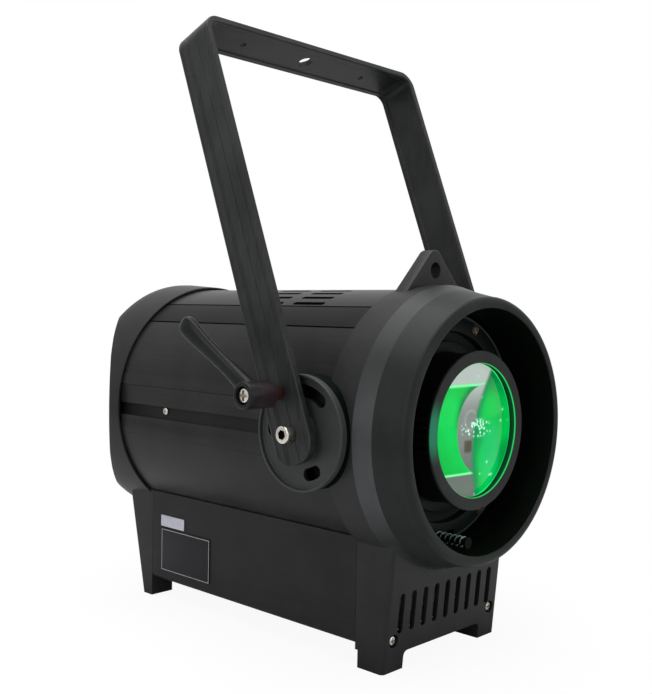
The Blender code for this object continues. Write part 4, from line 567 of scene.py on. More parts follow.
def coilTree():
    tree = makeTree("coil", (("Turns", "Float"), ("Radius", "Float"), ("Length", "Float"), ("Wire", "Float"),
                             ("Material", "Material")))
    given = tree.nodes.new("NodeGroupInput").outputs
    path = addNode(tree, "GeometryNodeCurveSpiral", {},
                   {"Resolution": 36, "Rotations": given["Turns"], "Start Radius": given["Radius"],
                    "End Radius": given["Radius"], "Height": given["Length"]})
    wire = addNode(tree, "GeometryNodeCurvePrimitiveCircle", {}, {"Resolution": 10, "Radius": given["Wire"]})
    swept = addNode(tree, "GeometryNodeCurveToMesh", {},
                    {"Curve": path.outputs[0], "Profile Curve": wire.outputs[0], "Fill Caps": True})
    return closeTree(tree, swept, given["Material"])


trees = {"repeat": repeatTree(), "coil": coilTree()}


def grow(name, treeName, values, place):
    # Runs a tree on an empty carrier and leaves a plain mesh, moved to its place.
    carrier = linked(name, bpy.data.meshes.new(name))
    step = carrier.modifiers.new("grow", "NODES")
    step.node_group = trees[treeName]
    for item in trees[treeName].interface.items_tree:
        if item.in_out == "INPUT" and item.name in values:
            step[item.identifier] = values[item.name]
    made = plain(carrier, name)
    bm = bmesh.new()
    bm.from_mesh(made.data)
    bmesh.ops.transform(bm, matrix=place, verts=bm.verts)
    bmesh.ops.recalc_face_normals(bm, faces=bm.faces)
    bm.to_mesh(made.data)
    bm.free()
    return made


def repeated(name, piece, count, start=(0, 0, 0), step=(0, 0, 0), turn=0.0, turnStep=0.0, centre=None,
             paint="casting"):
    # The piece is made about the lens axis at depth 0, and goes to start, start + step and so on.
    centre = Vector(centre or (0, 0, axisZ))
    bm = bmesh.new()
    bm.from_mesh(piece.data)
    bmesh.ops.translate(bm, vec=-Vector((0, front, 0)), verts=bm.verts)
    bm.to_mesh(piece.data)
    bm.free()
    made = grow(name, "repeat", {"Piece": piece, "Count": count, "Start": [0.001 * v for v in start],
                                 "Step": [0.001 * v for v in step], "Turn": radians(turn),
                                 "Turn Step": radians(turnStep), "Material": paints[paint]},
                Matrix.Translation((centre.x * 0.001, front + centre.y * 0.001, centre.z * 0.001)))
    bpy.data.objects.remove(piece, do_unlink=True)
    return made


def dress(piece, paint, slot, *replaced, body=None, parts=()):
    # Material, body and CAD node of a finished piece. Each of its parts is a paint and the test
    # that the middle and normal of that paint's faces pass.
    piece.data.materials.clear()
    for one in (paint, *[name for name, test in parts]):
        piece.data.materials.append(paints[one])
    for face in piece.data.polygons:
        spot = measured(face.center)
        passed = [i + 1 for i, (name, test) in enumerate(parts) if test(spot, face.normal)]
        face.material_index = passed[0] if passed else 0
    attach(piece, body or bodyOf[replaced[0]])
    if replaced:
        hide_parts(*replaced)
    return piece


# Front casting
casting = {
    "lip": 100, "bore": 91.5, "round": 4.5, "ring": 108.5, "shoulder": 40, "neck": (104.4, 26),
    "joint": 66.5, "hoodBore": 88.5, "hoodEnd": 41.5, "half": 71, "toe": 40, "lean": 0.09, "heel": 64,
    "floor": 13, "foot": 23, "corner": 3.2, "blend": 5.0, "wall": 3.8,
    "slots": 9, "slotPitch": 13.8, "slotWidth": 6, "slotLow": 28, "slotHigh": 58,
    "screwX": 61, "screwZ": 23.5, "counterbore": 5, "lugFront": 53.7, "lugThick": 11.8, "lugHalf": 43,
    "lugTop": 310.6, "lugHole": 6.25, "lugHoleZ": 294.8, "lugTip": 8.5, "hollowTop": 63,
}


def softLeast(a, b, blend):
    h = max(blend - abs(a - b), 0) / blend
    return min(a, b) - h * h * blend / 4


def cornerDrop(x, size):
    # How far a skirt's face falls back at its rounded upright edges.
    corner = size["corner"]
    over = max(abs(x) - (size["half"] - corner), 0)
    return corner - sqrt(max(corner ** 2 - over ** 2, 0))


def skirtFront(x, z, size):
    # Depth of the skirt's face, run up into the ring with a concave fillet.
    flat = size["toe"] - size["lean"] * z
    radius = sqrt(x * x + (z - axisZ) ** 2)
    neckRadius, neckDepth = size["neck"]
    if radius > neckRadius:
        slope = (size["shoulder"] - neckDepth) / (size["ring"] - neckRadius)
        ring = neckDepth + (radius - neckRadius) * slope + max(radius - size["ring"], 0) * 6
    else:
        ring = neckDepth + (neckRadius - radius) * 1.2
    return softLeast(flat, ring, size["blend"]) + cornerDrop(x, size)


def skirtBlock(name, frontOf, backOf, size, top, columns, levels):
    # A block between two faces given by their depth at (x, z), with rounded upright edges.
    half, corner = size["half"], size["corner"]
    xs = [-half + half * 2 * i / columns for i in range(columns + 1)]
    xs = [x for x in xs if abs(x) < half - corner]
    for angle in (0, 15, 30, 45, 60, 75, 84, 90):
        x = half - corner * (1 - sin(radians(angle)))
        xs += [x, -x]
    xs = sorted(set(round(x, 4) for x in xs))
    bm = bmesh.new()
    rows = []
    for k in range(levels + 1):
        z = top * k / levels
        loop = [(x, frontOf(x, z), z) for x in xs] + [(x, backOf(x, z), z) for x in reversed(xs)]
        rows.append([bm.verts.new(p) for p in loop])
    bridge(bm, rows)
    bm.faces.new(list(reversed(rows[0])))
    bm.faces.new(rows[-1])
    return finish(name, bm)


def safetyLug(size):
    # Two straight sides that run up to a round tip without a corner.
    half, tipRadius, face = size["lugHalf"], size["lugTip"], size["lugFront"]
    foot = axisZ + sqrt(size["ring"] ** 2 - half ** 2) - 5
    tip = size["lugTop"] - tipRadius
    turn = degrees(pi / 2 - atan2(tip - foot, half) - asin(tipRadius / hypot(tip - foot, half)))
    crown = around(tipRadius, [turn + (180 - 2 * turn) * i / 20 for i in range(21)], (0, tip))
    outline = [(half + 3, foot - 3)] + crown + [(-half - 3, foot - 3)]
    lug = prism("front_casting_lug", outline, "Y", face, face + size["lugThick"], edge=1.2)
    eye = turned("eye", rod(size["lugHole"], -20, 40), centre=(0, face, size["lugHoleZ"]), steps=48)
    return cut(lug, eye, turned("keep", rod(104, 0, 90), centre=lensAt, steps=96))


def archTool(size, start, end):
    # The free space between the feet.
    half = size["half"] - size["foot"]
    return prism("arch", rounded(box(-half, -20, half, size["floor"]), 4), "Y", start, end)


def drilled(skirt, size, seat, way):
    # Counterbored holes for the two skirt screws; way is the side from which they go in.
    bore = size["counterbore"]
    profile = [(0, 20 * way), (bore, 20 * way), (bore, 0), (2.3, 0), (2.3, -50 * way), (0, -50 * way)]
    for x in (-size["screwX"], size["screwX"]):
        skirt = cut(skirt, turned("bore", profile, centre=(x, seat, size["screwZ"]), steps=32))
    return skirt


def frontCasting(size):
    rim, lip = size["round"], size["lip"]
    outside = rounded([(size["ring"], size["joint"]), (size["ring"], size["shoulder"]), size["neck"],
                       (lip + 0.7, 9), (lip, 6.5)], [0, 3, 3, 3, 0], 4, closed=False)
    edge = around(rim, range(0, -91, -10), (lip - rim, rim))
    inside = rounded([(size["bore"], 0), (size["hoodBore"], size["hoodEnd"]), (96.2, size["hoodEnd"] + 1.5),
                      (96.2, 72.5), (99.7, 72.5), (99.7, size["joint"])],
                     [0.9, 0.8, 0, 0, 0, 0], 3, closed=False)
    inside[0] = Vector((size["bore"] + 0.9, 0))
    inside.insert(1, Vector((size["bore"] + 0.25, 0.3)))
    inside.insert(2, Vector((size["bore"], 0.95)))
    ring = turned("front_casting_ring", outside[:-1] + edge + inside, centre=lensAt, steps=180)
    wall, lean, toe, pitch = size["wall"], size["lean"], size["toe"], size["slotPitch"]
    skirt = skirtBlock("front_casting_skirt", lambda x, z: skirtFront(x, z, size), lambda x, z: size["joint"],
                       size, 108, 96, 52)
    low, high = size["floor"] + 3.5, size["hollowTop"]
    side = [(toe - lean * low + wall, low), (80, low), (80, high), (toe - lean * high + wall, high)]
    hollow = prism("hollow", side, "X", wall - size["half"], size["half"] - wall)
    heel = block("heel", (-90, size["heel"], -20), (90, 90, size["floor"]))
    space = turned("space", rod(102.6, -10, 90), centre=lensAt, steps=120)
    slot = prism("slot", upright(size["slotWidth"], size["slotLow"], size["slotHigh"]), "Y", 0, toe + 12)
    slots = repeated("slots", slot, size["slots"], (-(size["slots"] - 1) / 2 * pitch, 0, 0), (pitch, 0, 0),
                     centre=(0, 0, 0))
    skirt = cut(skirt, space, hollow, archTool(size, -5, 90), heel)
    skirt = drilled(cut(skirt, slots), size, toe - lean * size["screwZ"] + 4.0, -1)
    return joined("front_casting", ring, skirt, safetyLug(size))


def insideHood(spot, normal):
    out = Vector((spot.x, spot.z - axisZ))
    return out.length < casting["bore"] + 0.2 and spot.y > 1.2 and normal.x * out.x + normal.z * out.y < 0


def onBand(spot, normal):
    # The cone of the ring, in front of its first crease.
    out = Vector((spot.x, spot.z - axisZ))
    return casting["lip"] < out.length < casting["ring"] + 0.3 and (
        casting["neck"][1] < spot.y < casting["shoulder"] + 0.6)


def onNeck(spot, normal):
    # The lip's outside and face.
    out = Vector((spot.x, spot.z - axisZ))
    return casting["bore"] + 0.4 < out.length < casting["ring"] and spot.y <= casting["neck"][1]


# The hood's inside takes near-black painted shade, the ring's cone painted light and the lip a darker copy as
# painted shade.
dress(frontCasting(casting), "casting", "black_paint", "front_bezel",
      parts=(("hood", insideHood), ("band", onBand), ("neck", onNeck)))
print("front casting done")


# Rear casting
tail = {
    "rim": 107.7, "rimDepth": 318.6, "stop": 324.0, "back": 366, "rear": 110, "collar": 106.1, "panel": 98.8,
    "seat": 357.7, "seatBore": 92, "half": 71, "corner": 3.2, "skirt": 315, "heel": 329, "lean": 0.234,
    "floor": 13, "foot": 23, "screwX": 61, "screwZ": 23.5, "counterbore": 5,
    # Side facet: how far in from the rim's radius, and how far ahead of the back.
    "facet": ((-6, 41.4), (7.7, 24.5), (15.7, 16.5), (23.7, 9.5), (32, 2.7), (36.8, -1.2)), "facetWall": 4.8,
    "flat": 68.2, "wall": 3.5, "hollowTop": 63,
}


def rearFace(x, z, size):
    return size["heel"] + size["lean"] * z - cornerDrop(x, size)


def facets(inward):
    # What lies outside the slanting side facets, seen from above.
    line = [Vector((tail["rim"] - aside - inward, tail["back"] - ahead)) for aside, ahead in tail["facet"]]
    bend = rounded([tuple(p) for p in line], [0, 30, 30, 30, 12, 0], 5, closed=False)
    outline = [(p[0], p[1]) for p in bend] + [(130, line[-1].y), (130, line[0].y)]
    return [prism("facet", [(side * x, y) for x, y in outline], "Z", axisZ - 125, axisZ + 125)
            for side in (-1, 1)]


def panelShape(name, profile, half):
    # A turned disc with two flat sides.
    plate = turned(name, profile, centre=lensAt, steps=144)
    low, high = min(p[1] for p in profile) - 1, max(p[1] for p in profile) + 1
    outline = rounded(box(-half, axisZ - 120, half, axisZ + 120), 1.0)
    return combine(plate, [prism("flats", outline, "Y", low, high)], "INTERSECT")


def rearCasting(size):
    back, seat, stop = size["back"], size["seat"], size["stop"]
    rear, rimAt, collar = size["rear"], size["rimDepth"], size["collar"]
    outside = rounded([(0, back), (rear, back), (rear, back - 12), (size["rim"], rimAt), (0, rimAt)],
                      [0, 7, 2, 0.8, 0], 6, closed=False)
    ring = turned("rear_casting_ring", outside, centre=lensAt, steps=180)
    ring = cut(ring, *facets(0))
    cavity = turned("cavity", [(0, rimAt - 1), (collar, rimAt - 1), (collar, stop), (98.5, stop),
                               (98.5, stop + 3), (105.2, stop + 6), (105.2, seat - 5), (0, seat - 5)],
                    centre=lensAt, steps=180)
    cavity = cut(cavity, *facets(size["facetWall"]))
    opening = panelShape("opening", rod(size["seatBore"], seat - 6, seat + 1), size["flat"] - 3.5)
    place = panelShape("place", rod(size["panel"], seat, back + 10), size["flat"] + 0.3)
    ring = cut(ring, cavity, opening, place)
    skirt = skirtBlock("rear_casting_skirt", lambda x, z: size["skirt"], lambda x, z: rearFace(x, z, size),
                       size, 104, 64, 30)
    wall, lean, heel = size["wall"], size["lean"], size["heel"]
    low, high = size["floor"] + wall, size["hollowTop"]
    side = [(300, low), (heel + lean * low - wall, low), (heel + lean * high - wall, high), (300, high)]
    hollow = prism("hollow", side, "X", wall - size["half"], size["half"] - wall)
    space = turned("space", [(0, 300), (105.8, 300), (105.8, 319.1), (106.4, 319.1), (106.4, 400), (0, 400)],
                   centre=lensAt, steps=120)
    skirt = cut(skirt, space, hollow, archTool(size, 300, 400))
    return joined("rear_casting", ring, drilled(skirt, size, heel + lean * size["screwZ"] - 6, 1))


dress(rearCasting(tail), "casting", "black_paint", "rear_cover")
print("rear casting done")


# Body extrusion and base
boltBore = 4.3
body = {
    "radius": 105, "bore": 100, "start": 66.8, "end": 323.7, "landX": 102.8, "landTop": 19.8,
    "landLow": -22.5, "channelTop": 3.4, "channelLow": -7.0, "channelDeep": 1.5, "grooves": (45.6, 59.6),
    "grooveWide": 1.6, "grooveDeep": 1.2, "ventPitch": 6.19, "ventRows": 10, "ventWidth": 4.8,
    "ventLength": 35, "ventStart": 124.5, "ventStep": 47, "screwDepth": 257, "screwBore": 1.8,
}


def bodyOutline(size):
    # The right half from bottom to top, then mirrored.
    def arc(start, end, steps):
        return around(radius, [start + (end - start) * i / steps for i in range(steps + 1)])
    radius, x, deep = size["radius"], size["landX"], size["channelDeep"]
    low, high = (degrees(asin(size[key] / radius)) for key in ("landLow", "landTop"))
    side = arc(-90, low, 56)
    lands = [(x, size["landLow"]), (x, size["channelLow"]), (x - deep, size["channelLow"]),
             (x - deep, size["channelTop"]), (x, size["channelTop"]), (x, size["landTop"])]
    corners = [0, 0.5, 0.4, 0.3, 0.3, 0.4, 0.5, 0]
    side += rounded([side[-1]] + lands + around(radius, [high]), corners, 2, closed=False)[1:-1]
    half = degrees(size["grooveWide"] / 2 / radius)
    start = high
    for middle in size["grooves"]:
        side += arc(start, middle - half, round((middle - half - start) / 1.6))
        side += around(radius - size["grooveDeep"], (middle - half, middle + half))
        start = middle + half
    side += arc(start, 90, 18)
    return side + [(-p[0], p[1]) for p in reversed(side[1:-1])]


def bodyShell(size):
    outline = [(p[0], p[1] + axisZ) for p in bodyOutline(size)]
    shell = prism("body_extrusion", outline, "Y", size["start"], size["end"])
    tools = [turned("bore", rod(size["bore"], 0, 400), centre=lensAt, steps=180)]
    rows, pitch = size["ventRows"], size["ventPitch"]
    for column in range(2):
        vent = prism("vent", upright(size["ventWidth"], 0, size["ventLength"]), "Z", 92, 110)
        start = (0, size["ventStart"] + column * size["ventStep"], 0)
        tools.append(repeated("vents", vent, rows, start, turn=-(rows - 1) / 2 * pitch, turnStep=pitch))
    tools.append(block("cable_way", (-30, 100, axisZ - 120), (30, 200, axisZ - 85)))
    holes = (("pivot_hole", boltBore, pivot, 32),
             ("screw_hole", size["screwBore"], (0, size["screwDepth"], axisZ), 24))
    for side in (-1, 1):
        for name, bore, spot, steps in holes:
            tools.append(turned(name, rod(bore, 80 * side, 120 * side), "X", spot, steps))
    return cutEach(shell, tools)


def betweenGrooves(spot, normal):
    angle = degrees(atan2(spot.z - axisZ, abs(spot.x)))
    return body["grooves"][0] < angle < body["grooves"][1] and hypot(spot.x, spot.z - axisZ) > 104


dress(bodyShell(body), "extrusion", "anodised_black", "body_shell", parts=(("field", betweenGrooves),))
print("body extrusion done")

base = {"half": 71, "low": 16.5, "wall": 2.5, "start": 66.8, "end": 314.7, "top": 115, "corner": 5}


def baseTray(size):
    half, wall = size["half"], size["wall"]
    low, top, corner = size["low"], size["top"], size["corner"]
    outer = rounded(box(-half, low, half, top), [corner, corner, 0, 0], 6)
    inner = rounded(box(wall - half, low + wall, half - wall, top + 5), [3, 3, 0, 0], 4)
    tray = prism("base_extrusion", outer, "Y", size["start"], size["end"])
    tray = cut(tray, prism("inside", inner, "Y", size["start"] - 10, size["end"] + 10))
    return cut(tray, turned("body_space", rod(105.9, 0, 400), centre=lensAt, steps=180))


dress(baseTray(base), "base", "black_paint", "base_tray")
print("base done")


# Yoke
yoke = {
    "reach": 329, "width": 37, "thick": 5.5, "outer": 126.4, "end": 22, "bend": 14, "corner": 15.5,
    "crossHole": 6.5, "sideHole": 2.6, "sideHoleX": 72,
    # Fine grooves of the outer face: place across the width, and half width.
    "grooves": ((-13.5, 0.35), (-3.5, 0.3), (6.2, 0.35), (7.8, 0.35), (9.4, 0.35), (15.6, 0.4)),
    "grooveDeep": 0.45, "channel": 12.5, "channelDeep": 0.8,
}
yokePlace = Matrix.Translation(pivot) @ Matrix.Rotation(radians(-yokeLean), 4, "X")


def yokeBar(size):
    half, thick = size["width"] / 2, size["thick"]
    section = [(-half, -0.8), (-half + 0.25, -0.25), (-half + 0.8, 0)]
    for middle, wide in size["grooves"]:
        section += [(middle - wide * 1.6, 0), (middle - wide * 0.5, -size["grooveDeep"]),
                    (middle + wide * 0.5, -size["grooveDeep"]), (middle + wide * 1.6, 0)]
    section += [(half - 0.8, 0), (half - 0.25, -0.25), (half, -0.8), (half, 0.8 - thick),
                (half - 0.8, -thick)]
    channel, deep = size["channel"], size["channelDeep"]
    section += [(channel + 1.2, -thick), (channel, deep - thick), (-channel, deep - thick),
                (-channel - 1.2, -thick), (-half + 0.8, -thick), (-half, 0.8 - thick)]
    outer, top, bend = size["outer"], size["reach"], size["bend"]
    path = [(Vector((outer, -size["end"])), Vector((1, 0)))]
    for i in range(25):
        way = Vector(around(1, [90 * i / 24])[0])
        path.append((Vector((outer - bend, top - bend)) + way * bend, way))
    path += [(Vector((-p.x, p.y)), Vector((-n.x, n.y))) for p, n in reversed(path)]
    bm = bmesh.new()
    rings = []
    for spot, normal in path:
        rings.append([bm.verts.new((spot.x + normal.x * h, s, spot.y + normal.y * h)) for s, h in section])
    bridge(bm, rings)
    bm.faces.new(rings[0])
    bm.faces.new(rings[-1])
    bar = finish("yoke_bar", bm, 20, yokePlace)
    corner, low = size["corner"], -size["end"]
    outline = rounded(box(-half - 0.01, low, half + 0.01, top + 10), [corner, corner, 0, 0], 14)
    shape = prism("shape", outline, "X", -outer - 10, outer + 10, place=yokePlace)
    bar = combine(bar, [shape], "INTERSECT", 20)
    tools = [turned("bore", rod(boltBore, -150, 150), "X", (0, 0, up), 40, place=yokePlace)
             for up in (0, (stud - pivot).length)]
    for x, radius, steps in ((0, size["crossHole"], 48), (-size["sideHoleX"], size["sideHole"], 32),
                             (size["sideHoleX"], size["sideHole"], 32)):
        tools.append(turned("hole", rod(radius, top - 20, top + 10), "Z", (x, 0, 0), steps, place=yokePlace))
    return cutEach(bar, tools, 20)


dress(yokeBar(yoke), "yoke", "yoke_black", "yoke")
print("yoke done")


# Side discs, pivot bolts and clamp levers
disc = {"radius": 42, "face": 117.7, "back": 93, "cup": 40.2, "cupDeep": 3.4, "floor": 3.3, "hub": 14,
        "hubTop": 120.6, "trackIn": 21.5, "trackOut": 38.5, "slotAt": 30, "slotHalf": 4.6, "forward": 59,
        "backward": 70, "low": (284, 299)}


def arcSlot(radius, half, start, end):
    # A slot with round ends on a circle about the pivot; its angles run from the front over the top.
    outline = []
    for way, first, last in ((1, start, end), (-1, end, start)):
        outline += around(radius + way * half, [first + (last - first) * i / 40 for i in range(41)])
        outline += around(half, [last - 90 + way * 90 + 18 * k for k in range(1, 10)],
                          around(radius, [last])[0])
    return [(pivot.y - x, pivot.z + y) for x, y in outline]


def sideDisc(size):
    face, back, radius, hub, cup = (size[key] for key in ("face", "back", "radius", "hub", "cup"))
    floor, trackIn, trackOut = face - size["cupDeep"], size["trackIn"], size["trackOut"]
    under = floor - size["floor"]
    profile = rounded([(boltBore, size["hubTop"]), (12, size["hubTop"]), (12, face), (hub, face), (hub, floor),
                       (cup, floor), (cup, face), (radius, face), (radius, face - 5.2),
                       (radius - 0.5, face - 5.5), (radius - 0.5, back), (trackOut, back), (trackOut, under),
                       (trackIn, under), (trackIn, back), (boltBore, back)],
                      [0, 0.4, 0, 0.6, 0.5, 0.8, 0.4, 0.6, 0, 0, 0, 0, 0, 0, 0, 0], 3)
    made = turned("side_disc", leftward(profile), "X", pivot, 120)
    tools = [turned("body_cut", rod(body["radius"] + 0.3, 50, 300), centre=lensAt, steps=120),
             turned("ring_cut", rod(casting["ring"] + 0.3, -10, casting["joint"] + 0.3), centre=lensAt,
                    steps=120)]
    rest = 90 + yokeLean
    for start, end in ((rest - size["forward"], rest + size["backward"]), size["low"]):
        tools.append(prism("slot", arcSlot(size["slotAt"], size["slotHalf"], start, end), "X", -floor - 1,
                           -under + 1))
    return cutEach(made, tools)


def bothSides(name, item, paint, slot, node, parts=()):
    item.name = name + "_left"
    left = dress(item, paint, slot, node + "_left", parts=parts)
    dress(mirrored(name + "_right", left), paint, slot, node + "_right", parts=parts)
    return left


# The disc's wall behind its outer rim takes the near-black painted shade.
def discWall(spot, normal):
    out = hypot(spot.y - pivot.y, spot.z - pivot.z)
    return out > disc["radius"] - 0.8 and abs(spot.x) < disc["face"] - 5.25


def discTrack(spot, normal):
    # The walls of the slots and what lies behind the cup's floor, given near-black rubber as painted shade.
    out = hypot(spot.y - pivot.y, spot.z - pivot.z)
    return abs(spot.x) < disc["face"] - disc["cupDeep"] - 0.2 and out < disc["trackOut"] + 0.1


bothSides("side_disc_piece", sideDisc(disc), "disc", "black_paint", "side_disc",
          (("hood", discWall), ("rubber", discTrack)))


bolt = {"seat": 126.7, "head": 6.3, "height": 7.5, "key": 3.7, "keyDeep": 4.5, "shank": 4, "end": 93.5}


def pivotBolt(size):
    seat, head, shank, end = size["seat"], size["head"], size["shank"], size["end"]
    top = seat + size["height"]
    profile = rounded([(0, -top), (head, -top), (head, -seat), (shank, -seat), (shank, -end), (0, -end)],
                      [0, 0.8, 0.3, 0, 0.5, 0], 3, closed=False)
    made = turned("pivot_bolt_piece", profile, "X", pivot, 64)
    key = around(size["key"], range(12, 372, 60), (pivot.y, pivot.z))
    return cut(made, prism("key", key, "X", -top - 5, size["keyDeep"] - top))


def inKey(spot, normal):
    # The walls and floor of the hexagon socket, darkened with blackened steel as painted shade.
    depth = abs(spot.x) - bolt["seat"] - bolt["height"]
    out = hypot(spot.y - pivot.y, spot.z - pivot.z)
    return -bolt["keyDeep"] - 0.1 < depth < -0.1 and out < bolt["key"] + 0.05


bothSides("pivot_bolt_piece", pivotBolt(bolt), "steel", "steel", "pivot_bolt", (("blackSteel", inKey),))

clamp = {"inner": 108.1, "radius": 4, "collar": 5.0, "collarAt": 126.7, "collarEnd": 136.0, "neck": 4.2,
         "end": 156.5, "bore": 2.8, "boreDeep": 11, "hubStart": 136.3, "hubEnd": 162, "hub": 9.8, "web": 9,
         "pocket": 6.6, "capSeat": 156.8, "cap": 5.9, "capHeight": 4.0, "length": 78, "angle": 40,
         "rootX": 152, "tipX": 166}


def clampStud(size):
    inner, radius, collar, neck, end = (size[key] for key in ("inner", "radius", "collar", "neck", "end"))
    start, stop, bore, floor = size["collarAt"], size["collarEnd"], size["bore"], end - size["boreDeep"]
    profile = rounded([(0, inner), (radius, inner), (radius, start), (collar, start), (collar, stop),
                       (neck, stop), (neck, end), (bore, end), (bore, floor), (0, floor)],
                      [0, 0.4, 0, 0.5, 0.5, 0, 0.3, 0, 0, 0], 3, closed=False)
    return turned("clamp_stud_piece", leftward(profile), "X", stud, 56)


def crossHead(name, axis, spot, outward, radius, height, reach, shank):
    # A pan head with a cross recess; outward is +1 or -1 along the axis from the seat at spot.
    dome = [(0, height), (radius * 0.45, height), (radius * 0.8, height * 0.86),
            (radius * 0.96, height * 0.55), (radius, height * 0.2), (radius * 0.98, 0), (shank, 0),
            (shank, -reach), (0, -reach)]
    head = turned(name, [(r, a * outward) for r, a in dome], axis, spot, 32)
    wide, long = radius * 0.17, radius * 0.62
    middle = spot["XYZ".index(axis)]
    u, v = (spot[1], spot[2]) if axis == "X" else (spot[0], spot[2])
    low, high = sorted((middle + outward * height * 0.25, middle + outward * (height + 1)))
    return cutEach(head, [prism("key", box(u - a, v - b, u + a, v + b), axis, low, high)
                          for a, b in ((wide, long), (long, wide))])


def handle(size):
    # Stations from the hub to the tip: share of the length, half width and half thickness.
    stations = ((0.0, 7.5, 6.0), (0.08, 7.3, 6.0), (0.16, 6.8, 5.5), (0.26, 6.1, 5.0), (0.38, 5.8, 4.6),
                (0.5, 5.9, 4.4), (0.62, 6.4, 4.4), (0.74, 7.1, 4.6), (0.84, 7.8, 4.7), (0.91, 8.0, 4.6),
                (0.955, 7.2, 4.2), (0.985, 5.2, 3.2), (1.0, 2.2, 1.4))
    along, across = (Vector((0, *p)) for p in around(1, (size["angle"], size["angle"] + 90)))
    bm = bmesh.new()
    rings = []
    sides = 28
    for share, wide, thick in stations:
        rise = share * share * (3 - 2 * share)
        out = size["rootX"] + (size["tipX"] - size["rootX"]) * rise
        middle = Vector((-out, 0, 0)) + along * size["length"] * share
        ring = []
        for i in range(sides):
            c, s = cos(2 * pi * i / sides), sin(2 * pi * i / sides)
            c, s = abs(c) ** 0.8 * (1 if c > 0 else -1), abs(s) ** 0.8 * (1 if s > 0 else -1)
            ring.append(bm.verts.new(middle + across * wide * c + Vector((1, 0, 0)) * thick * s))
        rings.append(ring)
    bridge(bm, rings)
    bm.faces.new(rings[0])
    bm.faces.new(rings[-1])
    made = finish("handle", bm, 60, Matrix.Translation((0, stud.y, stud.z)))
    smooth = made.modifiers.new("smooth", "SUBSURF")
    smooth.levels = smooth.render_levels = 2
    return plain(made, "handle", 60)


def clampLever(size):
    start, end, hub, pocket = size["hubStart"], size["hubEnd"], size["hub"], size["pocket"]
    web, bore = start + size["web"], size["neck"] + 0.4
    profile = rounded([(bore, start), (hub, start), (hub, end), (pocket, end), (pocket, web), (bore, web)],
                      [0, 1.2, 1.8, 0.5, 0, 0], 4)
    made = turned("clamp_lever_piece", leftward(profile), "X", stud, 72)
    space = turned("space", rod(pocket + 0.9, -end - 10, 10 - start), "X", stud, 48)
    return joined("clamp_lever_piece", made, cut(handle(size), space, sharp=60), sharp=50)


bothSides("clamp_stud_piece", clampStud(clamp), "collar", "steel", "clamp_stud")
bothSides("clamp_lever_piece", clampLever(clamp), "lever", "plastic", "clamp_lever")
leverScrew = crossHead("lever_screw_piece", "X", (-clamp["capSeat"], stud.y, stud.z), -1, clamp["cap"],
                       clamp["capHeight"], 9.5, 2.5)
bothSides("lever_screw_piece", leverScrew, "steel", "steel", "lever_screw")
print("discs, bolts and levers done")


# Lens system
barrel = {"face": 10.5, "flange": 59.8, "flangeThick": 4, "radius": 57, "wall": 3.5, "foot": 64, "back": 48.3,
          "aperture": 50.2, "seat": 15.0, "ribs": 5, "ribPitch": 5.6, "lensRadius": 53, "lensRise": 10,
          "lensEdge": 4}


def lensBarrel(size):
    face, flange, radius, foot, back, seat, aperture = (
        size[key] for key in ("face", "flange", "radius", "foot", "back", "seat", "aperture"))
    inner, under, pitch = radius - size["wall"], face + size["flangeThick"], size["ribPitch"]
    profile = rounded([(aperture, face), (aperture, seat), (inner, seat), (inner, back + 3), (foot, back + 3),
                       (foot, back), (radius, back), (radius, under), (flange, under), (flange, face)],
                      [0.7, 0, 0, 0, 0, 0, 0, 0.3, 0.5, 0.9], 3)
    tube = turned("lens_barrel_piece", profile, centre=lensAt, steps=144)
    low = under - 0.5
    ribs = []
    for side in (0, 180):
        rib = block("rib", (radius - 0.8, low, -0.6), (flange + 1.8, low + 12.5, 0.6), 0.3)
        ribs.append(repeated("ribs", rib, size["ribs"], turn=side - (size["ribs"] - 1) / 2 * pitch,
                             turnStep=pitch))
    return joined("lens_barrel_piece", tube, *ribs)


dress(lensBarrel(barrel), "barrel", "barrel_black", "lens_barrel")


def lensProfile(size):
    seat = size["seat"] + 0.3
    edge = size["aperture"] - 0.6
    sphere = (edge ** 2 + size["lensRise"] ** 2) / (2 * size["lensRise"])
    span = asin(edge / sphere)
    dome = [(sphere * sin(span * i / 24), seat + sphere - size["lensRise"] - sphere * cos(span * i / 24))
            for i in range(25)]
    return dome + [(size["lensRadius"], seat), (size["lensRadius"], seat + size["lensEdge"]),
                   (0, seat + size["lensEdge"])]


def glassPaint():
    paint = Paint("lens glass", Transmission_Weight=1.0, IOR=1.12, Base_Color=(0.96, 1.0, 0.97, 1.0))
    return paint.feed(Roughness=paint.noise(300, 2) * 0.02)


paints["glass"] = glassPaint()
dress(turned("main_lens_piece", lensProfile(barrel), centre=lensAt, steps=128), "glass", "lens_glass",
      "main_lens")


